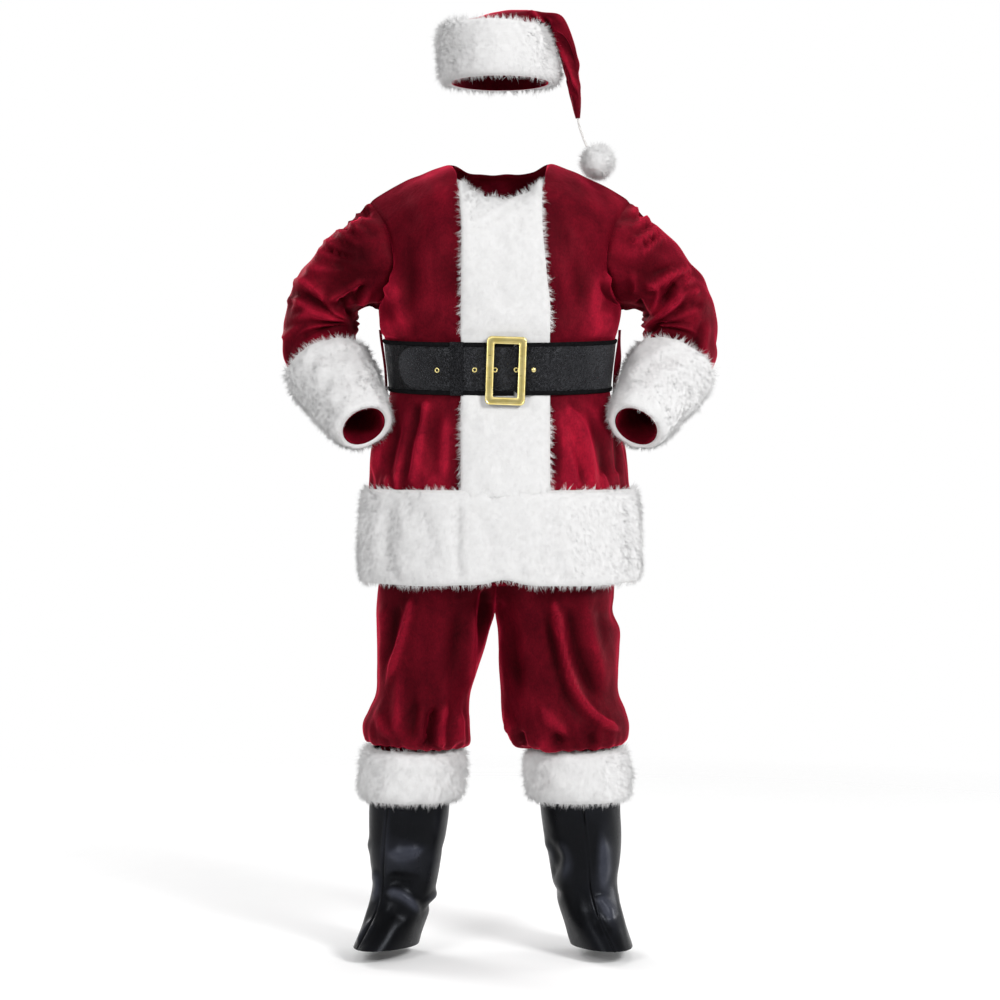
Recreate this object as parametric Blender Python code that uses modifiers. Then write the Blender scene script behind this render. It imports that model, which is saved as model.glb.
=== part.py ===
"""A worn Santa suit: belted jacket, trousers, stocking hat and boot tops, hollow, hands-on-hips.

Metres, +Z up, the front faces -Y, +X is the wearer's left. The origin is the middle of the neck base,
NECK_HEIGHT above the floor that the wearer stands on. Heights in the tables are above that floor.
Every cloth panel is a wall between an outer grid of points and the same grid moved in by CLOTH. What
lies on a panel is made from the panel's own points, moved out, so that it follows it facet by facet.
"""
import math

import bmesh
import bpy
import numpy as np
from mathutils import Vector

SIDES = {"right": -1, "left": 1}    # the wearer's sides and their sign along X

# ---- driving sizes -------------------------------------------------------------------------------
NECK_HEIGHT = 1.470
CLOTH = 0.0020          # velvet and vinyl walls
LIFT = 0.0004           # what lies on a panel is this far off it
SEAM = 0.0003           # between two panels at their seam
BODY_POWER = 2.3        # superellipse power of the torso sections
LIMB_POWER = 2.1        # and of the legs and sleeves
RIM_ORDER = (0.4, 0.1, 1.0)  # "lower" along this slant, since some edges run level

PLACKET_HALF = 0.082    # half width of the fur strip down the front
PLACKET_X = 0.010       # its middle, a little to the wearer's left
PLACKET_REACH = 0.016
PLACKET_EDGE = 0.008
HEM_REACH = 0.021
CUFF_REACH = 0.020
CUFF_EDGE = 0.016
BOOT_FUR_REACH = 0.026
HAT_FUR_REACH = 0.027
HAT_FUR_EDGE = 0.018
FUR_EDGE = 0.011        # a fur trim's reach at its edges
FUR_PRESSED = 0.003     # the placket's reach under the belt
FUR_PRESS_FADE = 0.050  # and how far above and below the belt it comes back

BELT_THICK = 0.0025
BELT_TRIM = 0.0075      # width of the fabric edging
TRIM_THICK = 0.0010
ON_PLACKET = LIFT + FUR_PRESSED + LIFT      # how far the strap stands off the jacket over the fur
BESIDE_PLACKET = (0.0028, 0.0012)           # and at the next columns to the right, under the keeper
TONGUE_TIP_X = -0.183
STRAP_END_X = 0.030     # where the other end stops, under the tongue
TONGUE_FLARE_X = (0.040, 0.047)             # where the tongue widens to the strap
TONGUE_NARROW = 0.0083  # the tongue is this much narrower at each edge, to clear the edging
TONGUE_TIP = ((0.000, 0.0324), (0.012, 0.0151), (0.030, 0.0050))  # from the tip, cut off each edge
KEEPER_X = (-0.0905, -0.0665)
KEEPER_ROOM, KEEPER_THICK = 0.0005, 0.0010
BUCKLE_X, BUCKLE_HEIGHT = 0.011, 1.1175
BUCKLE_WIDE, BUCKLE_TALL, BUCKLE_BAR, BUCKLE_THICK = 0.074, 0.127, 0.0145, 0.0040
BUCKLE_CORNER, BUCKLE_HOLE_CORNER, BUCKLE_EDGE = 0.009, 0.002, 0.0012  # radii
CORNER_STEPS = 3
BUCKLE_LEAN = math.radians(2.0)
BUCKLE_STAND = 0.0024   # room for the eyelets behind its bars
EYELET_X = (-0.114, -0.046, -0.009, 0.0295)
STUD_X = 0.061
EYELET_HEIGHT = 1.119
# radius and distance out from the strap
EYELET_PROFILE = ((0.0042, 0.0012), (0.0048, 0.0000), (0.0020, 0.0000), (0.0026, 0.0012))
STUD_PROFILE = ((0.0000, 0.0022), (0.0038, 0.0014), (0.0048, 0.0000), (0.0000, 0.0000))
EYELET_GAP = 0.0006     # off the strap at their middle, since it bends under them
TURNED_STEPS = 16
LOOP_WIDE, LOOP_THICK = 0.014, 0.0024
WAISTBAND = 0.004

# ---- tables, one row a section; heights above the floor -------------------------------------------
# height, half width, front depth, back depth, rise of the ring for each metre towards the back
JACKET = (
    (0.720, 0.252, 0.186, 0.166, 0.00),
    (0.770, 0.251, 0.185, 0.165, 0.00),
    (0.830, 0.249, 0.183, 0.163, 0.00),
    (0.896, 0.246, 0.180, 0.160, 0.00),
    (0.950, 0.240, 0.175, 0.154, 0.02),
    (1.005, 0.230, 0.170, 0.147, 0.05),
    (1.050, 0.219, 0.165, 0.141, 0.07),
    (1.085, 0.211, 0.162, 0.136, 0.08),
    (1.118, 0.213, 0.162, 0.136, 0.08),
    (1.151, 0.217, 0.163, 0.136, 0.08),
    (1.183, 0.221, 0.164, 0.136, 0.08),
    (1.203, 0.228, 0.168, 0.140, 0.06),
    (1.238, 0.234, 0.163, 0.141, 0.00),
)
BELT_ROWS = (7, 8, 9, 10)       # the rings under the belt
HEM_ROWS = (0, 1, 2, 3)         # the rings under the hem fur
# the armhole from the armpit to the shoulder point, front then back: x, y, height
ARMHOLE_FRONT = ((0.234, 0.000, 1.238), (0.2225, -0.030, 1.254), (0.209, -0.060, 1.284),
                 (0.201, -0.084, 1.327), (0.218, -0.058, 1.398), (0.250, 0.000, 1.444))
ARMHOLE_BACK = ((0.234, 0.000, 1.238), (0.2225, 0.026, 1.257), (0.210, 0.056, 1.290),
                (0.205, 0.082, 1.332), (0.222, 0.066, 1.401), (0.250, 0.000, 1.444))
# the neckline: x from the middle, y, height
NECK_FRONT = ((0.000, -0.104, 1.428), (0.041, -0.096, 1.436), (0.082, -0.056, 1.474), (0.095, 0.000, 1.514))
NECK_BACK = ((0.000, 0.064, 1.502), (0.041, 0.058, 1.504), (0.082, 0.030, 1.510), (0.095, 0.000, 1.514))
SHOULDER_BOW = 0.010
NECK_COLS_FRONT, NECK_COLS_BACK = 3, 2      # columns from the middle to the neck's side
UPPER_ROWS = 7                  # rows of the panels above the armpit
ARMHOLE_SPREAD = 1.3            # how fast the armhole's pull on the panel fades, as a power
# sleeve sections for the wearer's left: x, y, height, direction x y z, radius across, radius up
SLEEVE = (
    (0.2730, 0.000, 1.3240, 0.98, 0.03, -0.17, 0.0820, 0.0820),
    (0.3050, 0.010, 1.3000, 0.90, 0.10, -0.41, 0.0760, 0.0700),
    (0.3335, 0.021, 1.2640, 0.53, 0.16, -0.83, 0.0730, 0.0670),
    (0.3455, 0.030, 1.2270, 0.17, 0.10, -0.98, 0.0710, 0.0690),
    (0.3490, 0.032, 1.1880, -0.05, -0.18, -0.98, 0.0690, 0.0700),
    (0.3440, 0.021, 1.1560, -0.22, -0.45, -0.87, 0.0670, 0.0700),
    (0.3340, 0.003, 1.1320, -0.33, -0.60, -0.73, 0.0640, 0.0670),
    (0.3190, -0.018, 1.1110, -0.38, -0.66, -0.64, 0.0600, 0.0640),
    (0.3030, -0.045, 1.0870, -0.40, -0.69, -0.60, 0.0560, 0.0590),
    (0.2865, -0.074, 1.0630, -0.41, -0.70, -0.59, 0.0510, 0.0530),
    (0.2700, -0.102, 1.0390, -0.41, -0.70, -0.59, 0.0460, 0.0470),
    (0.2540, -0.130, 1.0150, -0.41, -0.70, -0.59, 0.0410, 0.0420),
)
CUFF_FIRST = 7                  # the ring of the sleeve, its armhole being 0, where the cuff fur starts
# trousers above the crotch, both sides alike: height, outer x, middle of the section, front, back,
# shift of the whole to +x, rise of the ring for each metre towards the back
HIPS = (
    (0.655, 0.2290, 0.1145, 0.128, 0.122, -0.010, 0.00),
    (0.690, 0.2280, 0.1050, 0.132, 0.126, -0.008, 0.00),
    (0.740, 0.2270, 0.0800, 0.138, 0.132, -0.004, 0.00),
    (0.810, 0.2260, 0.0350, 0.145, 0.136, 0.000, 0.00),
    (0.890, 0.2230, 0.0000, 0.150, 0.134, 0.000, 0.00),
    (0.970, 0.2140, 0.0000, 0.151, 0.130, 0.000, 0.02),
    (1.035, 0.2080, 0.0000, 0.155, 0.129, 0.000, 0.05),
    (1.0842, 0.2050, 0.0000, 0.1560, 0.1305, 0.000, 0.08),
)
# a leg below the crotch, down to the gathered end: height, inner x, outer x, front, back, middle y
LEG_SHIFT = -0.010
LEG_RIGHT = (
    (0.628, 0.0080, 0.2285, 0.124, 0.118, 0.000),
    (0.590, 0.0180, 0.2275, 0.118, 0.114, 0.000),
    (0.545, 0.0330, 0.2280, 0.112, 0.110, 0.000),
    (0.500, 0.0460, 0.2310, 0.108, 0.107, 0.000),
    (0.470, 0.0480, 0.2440, 0.110, 0.107, 0.000),
    (0.443, 0.0470, 0.2530, 0.112, 0.108, 0.000),
    (0.424, 0.0480, 0.2460, 0.106, 0.104, 0.001),
    (0.411, 0.0640, 0.2280, 0.092, 0.092, 0.003),
    (0.405, 0.0860, 0.2190, 0.074, 0.074, 0.006),
    (0.385, 0.0910, 0.2220, 0.065, 0.065, 0.006),
    (0.350, 0.0857, 0.2273, 0.0708, 0.0708, 0.006),
)
LEG_LEFT = (
    (0.628, 0.0040, 0.2410, 0.124, 0.118, 0.000),
    (0.590, 0.0060, 0.2410, 0.120, 0.115, 0.000),
    (0.545, 0.0080, 0.2390, 0.116, 0.112, 0.000),
    (0.500, 0.0110, 0.2400, 0.112, 0.109, 0.000),
    (0.470, 0.0150, 0.2520, 0.113, 0.110, 0.000),
    (0.443, 0.0210, 0.2590, 0.112, 0.109, 0.000),
    (0.424, 0.0300, 0.2540, 0.106, 0.104, 0.001),
    (0.411, 0.0560, 0.2330, 0.092, 0.092, 0.003),
    (0.405, 0.0820, 0.2220, 0.074, 0.074, 0.006),
    (0.385, 0.0915, 0.2225, 0.065, 0.065, 0.006),
    (0.350, 0.0862, 0.2278, 0.0708, 0.0708, 0.006),
)
# a boot top: height, half width, front, back, middle x, middle y, rise to the front
BOOT = (
    (0.398, 0.0775, 0.0780, 0.0780, 0.000, 0.006, 0.00),
    (0.345, 0.0780, 0.0790, 0.0790, 0.003, 0.006, 0.00),
    (0.286, 0.0770, 0.0790, 0.0800, 0.008, 0.006, 0.00),
    (0.232, 0.0740, 0.0770, 0.0800, 0.012, 0.007, 0.00),
    (0.180, 0.0680, 0.0720, 0.0760, 0.016, 0.007, 0.00),
    (0.134, 0.0620, 0.0680, 0.0700, 0.018, 0.006, 0.00),
    (0.096, 0.0600, 0.0760, 0.0670, 0.025, 0.003, 0.02),
    (0.058, 0.0580, 0.0980, 0.0640, 0.036, 0.000, 0.04),
    (0.020, 0.0570, 0.1230, 0.0640, 0.047, -0.002, 0.06),
)
BOOT_FUR_ROWS = 3               # the rings under the fur cuff, from the top
BOOT_X = {"right": -0.1665, "left": 0.1470}
TOE_OUT = {"right": math.radians(-17), "left": math.radians(10)}
BOOT_SEAM = {"right": -1, "left": 0}    # columns by which a boot top's seams are turned to its left
# the hat: x, y, height, direction x and z of the axis, radius across, radius in y, turn in degrees
CROWN = (
    (0.0000, 0.004, 1.672, 0.00, 1.00, 0.0930, 0.1040, 0),
    (0.0000, 0.004, 1.725, 0.00, 1.00, 0.0930, 0.1040, 0),
    (0.0000, 0.004, 1.772, 0.03, 1.00, 0.0890, 0.1000, 0),
    (0.0290, 0.008, 1.788, 0.18, 0.98, 0.0600, 0.0820, 0),
    (0.0660, 0.006, 1.7940, 0.44, 0.90, 0.0280, 0.0680, -4),
    (0.0870, 0.002, 1.7910, 0.62, 0.78, 0.0150, 0.0590, -8),
    (0.1040, -0.003, 1.7800, 0.82, -0.57, 0.0110, 0.0520, -12),
    (0.1190, -0.006, 1.7540, 0.42, -0.91, 0.0110, 0.0440, -16),
    (0.1340, -0.006, 1.714, 0.22, -0.98, 0.0120, 0.0350, -18),
    (0.1415, -0.004, 1.668, 0.10, -1.00, 0.0115, 0.0240, -16),
    (0.1465, 0.002, 1.630, 0.08, -1.00, 0.0090, 0.0130, -10),
    (0.1490, 0.004, 1.605, 0.06, -1.00, 0.0055, 0.0055, 0),
)
HAT_FUR_PRESSED = {2: 0.003, 1: 0.016}  # the band fur's reach by row, under the crown's tail
PRESSED_COLUMNS = (-1, 0, 1)
HAT_FUR_ROWS = 3                # the rings under the band, from the brim
CORD_POINTS = ((0.1493, 0.004, 1.609), (0.1500, 0.004, 1.600), (0.1520, 0.003, 1.590),
               (0.1560, 0.002, 1.577), (0.1610, 0.001, 1.563), (0.1663, 0.000, 1.5505))
CORD_RADIUS, CORD_STEPS = 0.0022, 9
POMPOM, POMPOM_RADIUS = (0.187, -0.002, 1.5215), 0.0355

# a belt loop's path down the side: distance off the jacket, height
BELT_LOOP = (
    (0.0004, 1.200), (0.0026, 1.193), (0.0054, 1.184), (0.0054, 1.172),
    (0.0050, 1.118), (0.0054, 1.094), (0.0054, 1.083), (0.0004, 1.068),
)
# columns: from the placket to a side seam, half the back, round a sleeve, half of a leg, boot and hat
SIDE_COLS, BACK_COLS, SLEEVE_COLS, LEG_COLS, BOOT_COLS, HAT_COLS = 5, 6, 14, 7, 7, 7
PLACKET_COLS = 2                # columns each side of the placket's middle
FRONT_MIDDLE = SIDE_COLS + PLACKET_COLS
# soft folds in the skirt: where round the body (-1 to 1, seam to seam over the front or the back), top
# and bottom height, drift of the first on the way down, half width in the first's units, reach outward
SKIRT_FOLDS_FRONT = (
    (-0.80, 1.060, 0.720, -0.02, 0.09, 0.006),
    (-0.56, 1.060, 0.720, -0.05, 0.07, -0.007),
    (0.60, 1.060, 0.720, 0.10, 0.08, -0.006),
    (0.84, 1.060, 0.720, 0.02, 0.08, 0.006),
)
SKIRT_FOLDS_BACK = (
    (-0.72, 1.060, 0.720, -0.04, 0.10, 0.007),
    (-0.30, 1.060, 0.720, -0.02, 0.10, -0.007),
    (0.05, 1.060, 0.720, 0.00, 0.09, 0.006),
    (0.40, 1.060, 0.720, 0.03, 0.10, -0.007),
    (0.76, 1.060, 0.720, 0.05, 0.10, 0.007),
)

MATERIALS = {   # colour, roughness, metallic
    "velvet": ((0.30, 0.008, 0.022), 0.75, 0.0),
    "fur": ((0.86, 0.86, 0.85), 0.95, 0.0),
    "vinyl": ((0.018, 0.019, 0.022), 0.45, 0.0),
    "edging": ((0.012, 0.012, 0.014), 0.9, 0.0),
    "gold": ((0.80, 0.60, 0.22), 0.32, 1.0),
}


# ---- small geometry -------------------------------------------------------------------------------
def unit(v):
    return v / np.maximum(np.linalg.norm(v, axis=-1, keepdims=True), 1e-12)


def smooth(xs, rows, at):
    """Rows of numbers over rising xs, read at `at` by a cubic that never overshoots."""
    xs, rows, at = np.asarray(xs, float), np.asarray(rows, float), np.asarray(at, float)
    step = np.diff(xs)
    slope = np.diff(rows, axis=0) / step[:, None]
    tangent = np.zeros_like(rows)
    tangent[0], tangent[-1] = slope[0], slope[-1]
    same = slope[:-1] * slope[1:] > 0
    total = np.where(same, slope[:-1] + slope[1:], 1.0)
    tangent[1:-1] = np.where(same, 2 * slope[:-1] * slope[1:] / total, 0.0)
    k = np.clip(np.searchsorted(xs, at, side="right") - 1, 0, len(xs) - 2)
    h = step[k][:, None]
    t = ((at - xs[k])[:, None]) / h
    return (
        rows[k] * (1 + 2 * t) * (1 - t) ** 2
        + tangent[k] * h * t * (1 - t) ** 2
        + rows[k + 1] * t * t * (3 - 2 * t)
        + tangent[k + 1] * h * t * t * (t - 1)
    )


def along(points, count):
    """`count` points evenly spaced along a smooth line through a few."""
    points = np.asarray(points, float)
    run = np.concatenate([[0], np.cumsum(np.linalg.norm(np.diff(points, axis=0), axis=1))])
    fine = smooth(run, points, np.linspace(0, run[-1], 200))
    run = np.concatenate([[0], np.cumsum(np.linalg.norm(np.diff(fine, axis=0), axis=1))])
    at = np.linspace(0, run[-1], count)
    return np.stack([np.interp(at, run, fine[:, k]) for k in range(3)], axis=1)


def power_curve(angle, power):
    """The unit superellipse's x and y at an angle."""
    c, s = np.cos(angle), np.sin(angle)
    return np.sign(c) * np.abs(c) ** (2 / power), np.sign(s) * np.abs(s) ** (2 / power)


def shared_normals(grids, outward):
    """A normal for each point of each grid, the same for points that two grids share."""
    total = {}
    for grid, sign in zip(grids, outward):
        across = grid[:, 1:] - grid[:, :-1]
        up = grid[1:] - grid[:-1]
        for a, b in ((across[:-1], up[:, :-1]), (across[1:], up[:, 1:])):
            face = np.cross(a, b) * sign
            for rows, cols in ((slice(0, -1), slice(0, -1)), (slice(1, None), slice(0, -1)),
                               (slice(0, -1), slice(1, None)), (slice(1, None), slice(1, None))):
                for point, n in zip(grid[rows, cols].reshape(-1, 3), face.reshape(-1, 3)):
                    key = tuple(np.round(point, 5))
                    total[key] = total.get(key, 0) + n
    return [
        unit(np.array([total[tuple(np.round(p, 5))] for p in grid.reshape(-1, 3)])).reshape(grid.shape)
        for grid in grids
    ]


def pulled_in(outer, inner, sides, closed=False, gap=SEAM / 2):
    """Moves the named edges of both grids squarely into the panel by half a seam gap."""
    edges = {"first_col": (np.s_[:, 0], np.s_[:, 1]), "last_col": (np.s_[:, -1], np.s_[:, -2]),
             "first_row": (np.s_[0], np.s_[1]), "last_row": (np.s_[-1], np.s_[-2])}
    shifts = []
    for side in sides:
        edge, beside = edges[side]
        line = outer[edge]
        if closed:
            run = unit(np.roll(line, -1, axis=0) - line) + unit(line - np.roll(line, 1, axis=0))
        else:
            step = unit(np.diff(line, axis=0))
            run = np.concatenate([step[:1], step[1:] + step[:-1], step[-1:]])
        run = unit(run)
        into = unit(outer[beside] - line)
        square = unit(into - run * np.sum(into * run, axis=1, keepdims=True))
        shifts.append((edge, square * gap))
    outer, inner = outer.copy(), inner.copy()
    for edge, shift in shifts:
        outer[edge] += shift
        inner[edge] += shift
    return outer, inner


# ---- Blender objects -------------------------------------------------------------------------------
def clear():
    for obj in list(bpy.data.objects):
        bpy.data.objects.remove(obj, do_unlink=True)


def material(name):
    if name in bpy.data.materials:
        return bpy.data.materials[name]
    colour, roughness, metallic = MATERIALS[name]
    made = bpy.data.materials.new(name)
    made.use_nodes = True
    shader = made.node_tree.nodes["Principled BSDF"]
    shader.inputs["Base Color"].default_value = (*colour, 1)
    shader.inputs["Roughness"].default_value = roughness
    shader.inputs["Metallic"].default_value = metallic
    return made


def add_mesh(name, vertices, faces, slot):
    """One named object; its faces are turned so that they point out."""
    vertices = np.asarray(vertices, float) - (0, 0, NECK_HEIGHT)
    a, b, c = (vertices[[f[k] for f in faces]] for k in (0, 1, 2))
    if np.einsum("ij,ij->i", a, np.cross(b, c)).sum() < 0:
        faces = [tuple(reversed(f)) for f in faces]
    mesh = bpy.data.meshes.new(name)
    mesh.from_pydata(vertices.tolist(), [], faces)
    mesh.materials.append(material(slot))
    obj = bpy.data.objects.new(name, mesh)
    bpy.data.collections["santa_suit"].objects.link(obj)
    return obj


def wall(name, outer, inner, slot, around=False):
    """A closed wall between two grids; `around` joins the last column to the first."""
    rows, cols = outer.shape[:2]
    spans = cols if around else cols - 1
    points = np.concatenate([outer.reshape(-1, 3), inner.reshape(-1, 3)])
    rank = points @ RIM_ORDER
    faces = []

    def at(layer, r, c):
        return layer * rows * cols + r * cols + c % cols

    def rim(p, q, s, t, flip):
        """Cut from the lower end of its outer edge, so that two rims that meet are cut alike."""
        pair = [(p, q, s), (p, s, t)] if rank[p] <= rank[q] else [(p, q, t), (q, s, t)]
        faces.extend([f[::-1] for f in pair] if flip else pair)

    for r in range(rows - 1):
        for c in range(spans):
            for layer in (0, 1):
                p, q = at(layer, r, c), at(layer, r, c + 1)
                s, t = at(layer, r + 1, c + 1), at(layer, r + 1, c)
                pair = [(p, q, s), (p, s, t)]
                faces += pair if layer == 0 else [f[::-1] for f in pair]
    for c in range(spans):
        for r, flip in ((0, True), (rows - 1, False)):
            rim(at(0, r, c), at(0, r, c + 1), at(1, r, c + 1), at(1, r, c), flip)
    if not around:
        for r in range(rows - 1):
            for c, flip in ((0, False), (cols - 1, True)):
                rim(at(0, r, c), at(0, r + 1, c), at(1, r + 1, c), at(1, r, c), flip)
    return add_mesh(name, points, faces, slot)


def cloth_panel(name, grid, normals, sides, slot="velvet", around=False):
    """A panel with its outer face on the grid; `sides` are the edges sewn to a neighbour."""
    outer, inner = pulled_in(grid, grid - normals * CLOTH, sides, around)
    return wall(name, outer, inner, slot, around)


def fur_on(name, grid, normals, reach, around=False, sides=()):
    """Fur trim on a panel: from LIFT above its points to LIFT + reach, an array with the grid's shape."""
    outer = grid + normals * (LIFT + np.asarray(reach))[..., None]
    outer, inner = pulled_in(outer, grid + normals * LIFT, sides, around)
    return wall(name, outer, inner, "fur", around)


def domed(rows, cols, reach, edge=FUR_EDGE):
    """A reach array that falls to `edge` at its first and last rows."""
    out = np.full((rows, cols), reach)
    out[[0, -1]] = edge
    return out


# ---- the jacket ------------------------------------------------------------------------------------
def ring_y(x, half, depth):
    """How far a section stands from the middle plane at x."""
    return depth * np.maximum(1 - np.abs(x / half) ** BODY_POWER, 0) ** (1 / BODY_POWER)


def fold_offset(where, height, folds):
    """The folds' outward move at a place round the body and a height; none at the seams."""
    move = 0.0
    for middle, top, bottom, drift, width, reach in folds:
        down = np.clip((top - height) / (top - bottom), 0, 1)
        off = (where - middle - drift * down) / width
        move = move + reach * np.exp(-off * off) * down ** 0.7
    return move * (1 - np.abs(where) ** 6)


def folded_row(x, y, half, depth, height, tilt, folds):
    """A ring's points from its plan, with the folds added square to it and its tilt to the back."""
    move = fold_offset(np.linspace(-1, 1, len(x)), height, folds)
    out = unit(np.stack([x / half ** 2, y / depth ** 2], axis=1)) * move[:, None]
    return np.stack([x + out[:, 0], y + out[:, 1], height + tilt * y], axis=1)


def front_row(half, depth, height, tilt):
    """One ring's front half, right seam to left seam, with even columns over the placket."""
    placket = PLACKET_X + PLACKET_HALF * np.linspace(-1, 1, 2 * PLACKET_COLS + 1)
    to_seam = []
    for edge in (placket[0], placket[-1]):
        start = math.acos((abs(edge) / half) ** (BODY_POWER / 2))
        angles = np.linspace(start, 0, SIDE_COLS + 1)[1:]
        to_seam.append(half * power_curve(angles, BODY_POWER)[0])
    x = np.concatenate([-to_seam[0][::-1], placket, to_seam[1]])
    return folded_row(x, -ring_y(x, half, depth), half, depth, height, tilt, SKIRT_FOLDS_FRONT)


def back_row(half, depth, height, tilt):
    """One ring's back half, left seam to right seam."""
    x, y = power_curve(np.linspace(0, math.pi, 2 * BACK_COLS + 1), BODY_POWER)
    return folded_row(half * x, depth * y, half, depth, height, tilt, SKIRT_FOLDS_BACK)


def dome_between(low, high, t):
    """From low to high along a quarter ellipse: mostly up first, then mostly in."""
    rise, sink = math.sin(math.pi / 2 * t), 1 - math.cos(math.pi / 2 * t)
    return np.array([low[0] + (high[0] - low[0]) * rise, low[1] + (high[1] - low[1]) * sink,
                     low[2] + (high[2] - low[2]) * rise])


def upper_grid(base, neck, armhole, neck_cols):
    """Rows from the armpit ring to the neck and shoulders. base runs from right to left.

    neck gives the first neck_cols columns from the middle, and the shoulder seam the rest. Both, and
    the armhole, are for the left side and mirrored.
    """
    middle = (len(base) - 1) // 2
    hole = along(armhole, UPPER_ROWS + 1)
    neck = np.asarray(neck, float)
    share = np.linspace(0, 1, middle - neck_cols + 1)[:, None]
    seam = neck[-1] + (hole[-1] - neck[-1]) * share
    seam[:, 2:] += SHOULDER_BOW * 4 * share * (1 - share)
    top = np.concatenate([along(neck, neck_cols + 1)[:-1], seam])
    rows = []
    for r in range(1, UPPER_ROWS + 1):
        t = r / UPPER_ROWS
        row = []
        for k, low in enumerate(base):
            mirror = (1 if k >= middle else -1, 1, 1)
            edge = hole * mirror
            pull = edge[r] - dome_between(edge[0], edge[-1], t)
            near = abs(k - middle) / middle
            row.append(dome_between(low, top[abs(k - middle)] * mirror, t) + pull * near ** ARMHOLE_SPREAD)
        rows.append(row)
    return np.array(rows)


def jacket_grids():
    """The front from right seam to left and the back from left to right, hem up to neck and shoulders."""
    front = np.array([front_row(half, deep, height, tilt) for height, half, deep, _, tilt in JACKET])
    back = np.array([back_row(half, deep, height, tilt) for height, half, _, deep, tilt in JACKET])
    front_up = upper_grid(front[-1], NECK_FRONT, ARMHOLE_FRONT, NECK_COLS_FRONT)
    back_up = upper_grid(back[-1][::-1], NECK_BACK, ARMHOLE_BACK, NECK_COLS_BACK)[:, ::-1]
    return np.concatenate([front, front_up]), np.concatenate([back, back_up])


def armhole_loop(front, back, side):
    """The armhole's points from the armpit up the front and down the back."""
    first = len(JACKET) - 1
    f = front[first:, -1 if side == "left" else 0]
    b = back[first:, 0 if side == "left" else -1]
    return np.concatenate([f, b[::-1][1:-1]])


def sleeve_grid(loop, sign):
    """Rings down the sleeve; the first is the armhole itself. Columns start at the armpit."""
    up = np.array([0, 0, 1.0])
    rings = [loop]
    angles = np.linspace(0, 2 * math.pi, SLEEVE_COLS, endpoint=False)
    c, s = power_curve(angles, LIMB_POWER)
    for x, y, height, dx, dy, dz, across, tall in SLEEVE:
        d = unit(np.array([sign * dx, dy, dz]))
        up = unit(up - d * np.dot(up, d))
        front = np.cross(d, up) * sign
        centre = np.array([sign * x, y, height])
        rings.append(centre - up * tall * c[:, None] + front * across * s[:, None])
    return np.array(rings)


def closed_grid(grid):
    """The same grid with its first column again at the end, for normals of a tube."""
    return np.concatenate([grid, grid[:, :1]], axis=1)


def build_jacket():
    front, back = jacket_grids()
    sleeves = [closed_grid(sleeve_grid(armhole_loop(front, back, side), SIDES[side])) for side in SIDES]
    grids = [front, back, *sleeves]
    normals = shared_normals(grids, [1, 1, *(-sign for sign in SIDES.values())])
    seams = ("first_col", "last_col", "last_row")
    for side, part in (("right", np.s_[:, :FRONT_MIDDLE + 1]), ("left", np.s_[:, FRONT_MIDDLE:])):
        cloth_panel("jacket_front_" + side, front[part], normals[0][part], seams)
    cloth_panel("jacket_back", back, normals[1], seams)
    seams = ("first_col", "last_col", "first_row")
    half = SLEEVE_COLS // 2
    for side, sleeve, n in zip(SIDES, sleeves, normals[2:]):
        for name, part in (("front", np.s_[:, :half + 1]), ("back", np.s_[:, half:])):
            cloth_panel(f"sleeve_{name}_{side}", sleeve[part], n[part], seams)
        cuff, cuff_n = sleeve[CUFF_FIRST:, :-1], n[CUFF_FIRST:, :-1]
        reach = domed(*cuff.shape[:2], CUFF_REACH, CUFF_EDGE)
        fur_on("cuff_fur_" + side, cuff, cuff_n, reach, around=True)
    return grids, normals


def ring_grid(front, back):
    """Front and back columns as one ring without the shared seam columns twice."""
    return np.concatenate([front[:, :-1], back[:, :-1]], axis=1)


def build_front_and_hem_fur(grids, normals):
    """The strip down the front, from the hem's fur to the neck, and the hem's fur."""
    top = HEM_ROWS[-1]
    part = np.s_[top:, FRONT_MIDDLE - PLACKET_COLS:FRONT_MIDDLE + PLACKET_COLS + 1]
    strip, n = grids[0][part], normals[0][part]
    reach = np.full(strip.shape[:2], PLACKET_REACH)
    reach[:, [0, -1]] = PLACKET_EDGE
    reach[-1] = PLACKET_EDGE
    low, high = JACKET[BELT_ROWS[0]][0], JACKET[BELT_ROWS[-1]][0]
    for row, (height, *_) in zip(reach, JACKET[top:]):
        away = max(low - height, height - high, 0)
        row[:] = np.minimum(row, np.interp(away, (0, FUR_PRESS_FADE), (FUR_PRESSED, PLACKET_REACH)))
    fur_on("placket_fur", strip, n, reach, sides=("first_row",))
    ring = ring_grid(*grids[:2])[:top + 1]
    ring_n = ring_grid(*normals[:2])[:top + 1]
    fur_on("hem_fur", ring, ring_n, domed(*ring.shape[:2], HEM_REACH), around=True, sides=("last_row",))


# ---- the belt --------------------------------------------------------------------------------------
def belt_surface(grids, normals):
    """The rings under the belt, front then back, closed round, with their normals."""
    rows = slice(BELT_ROWS[0], BELT_ROWS[-1] + 1)
    return closed_grid(ring_grid(*grids[:2])[rows]), closed_grid(ring_grid(*normals[:2])[rows])


def at_columns(grid, columns):
    """A grid read at fractional columns, straight between its own."""
    columns = np.asarray(columns, float) % (grid.shape[1] - 1)
    low = np.floor(columns).astype(int)
    share = (columns - low)[None, :, None]
    return grid[:, low] * (1 - share) + grid[:, low + 1] * share


def column_of_x(ring, x):
    """The fractional front column at a place across the front."""
    xs = ring[:, :2 * FRONT_MIDDLE + 1, 0].mean(axis=0)
    return float(np.interp(x, xs, np.arange(len(xs))))


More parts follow.
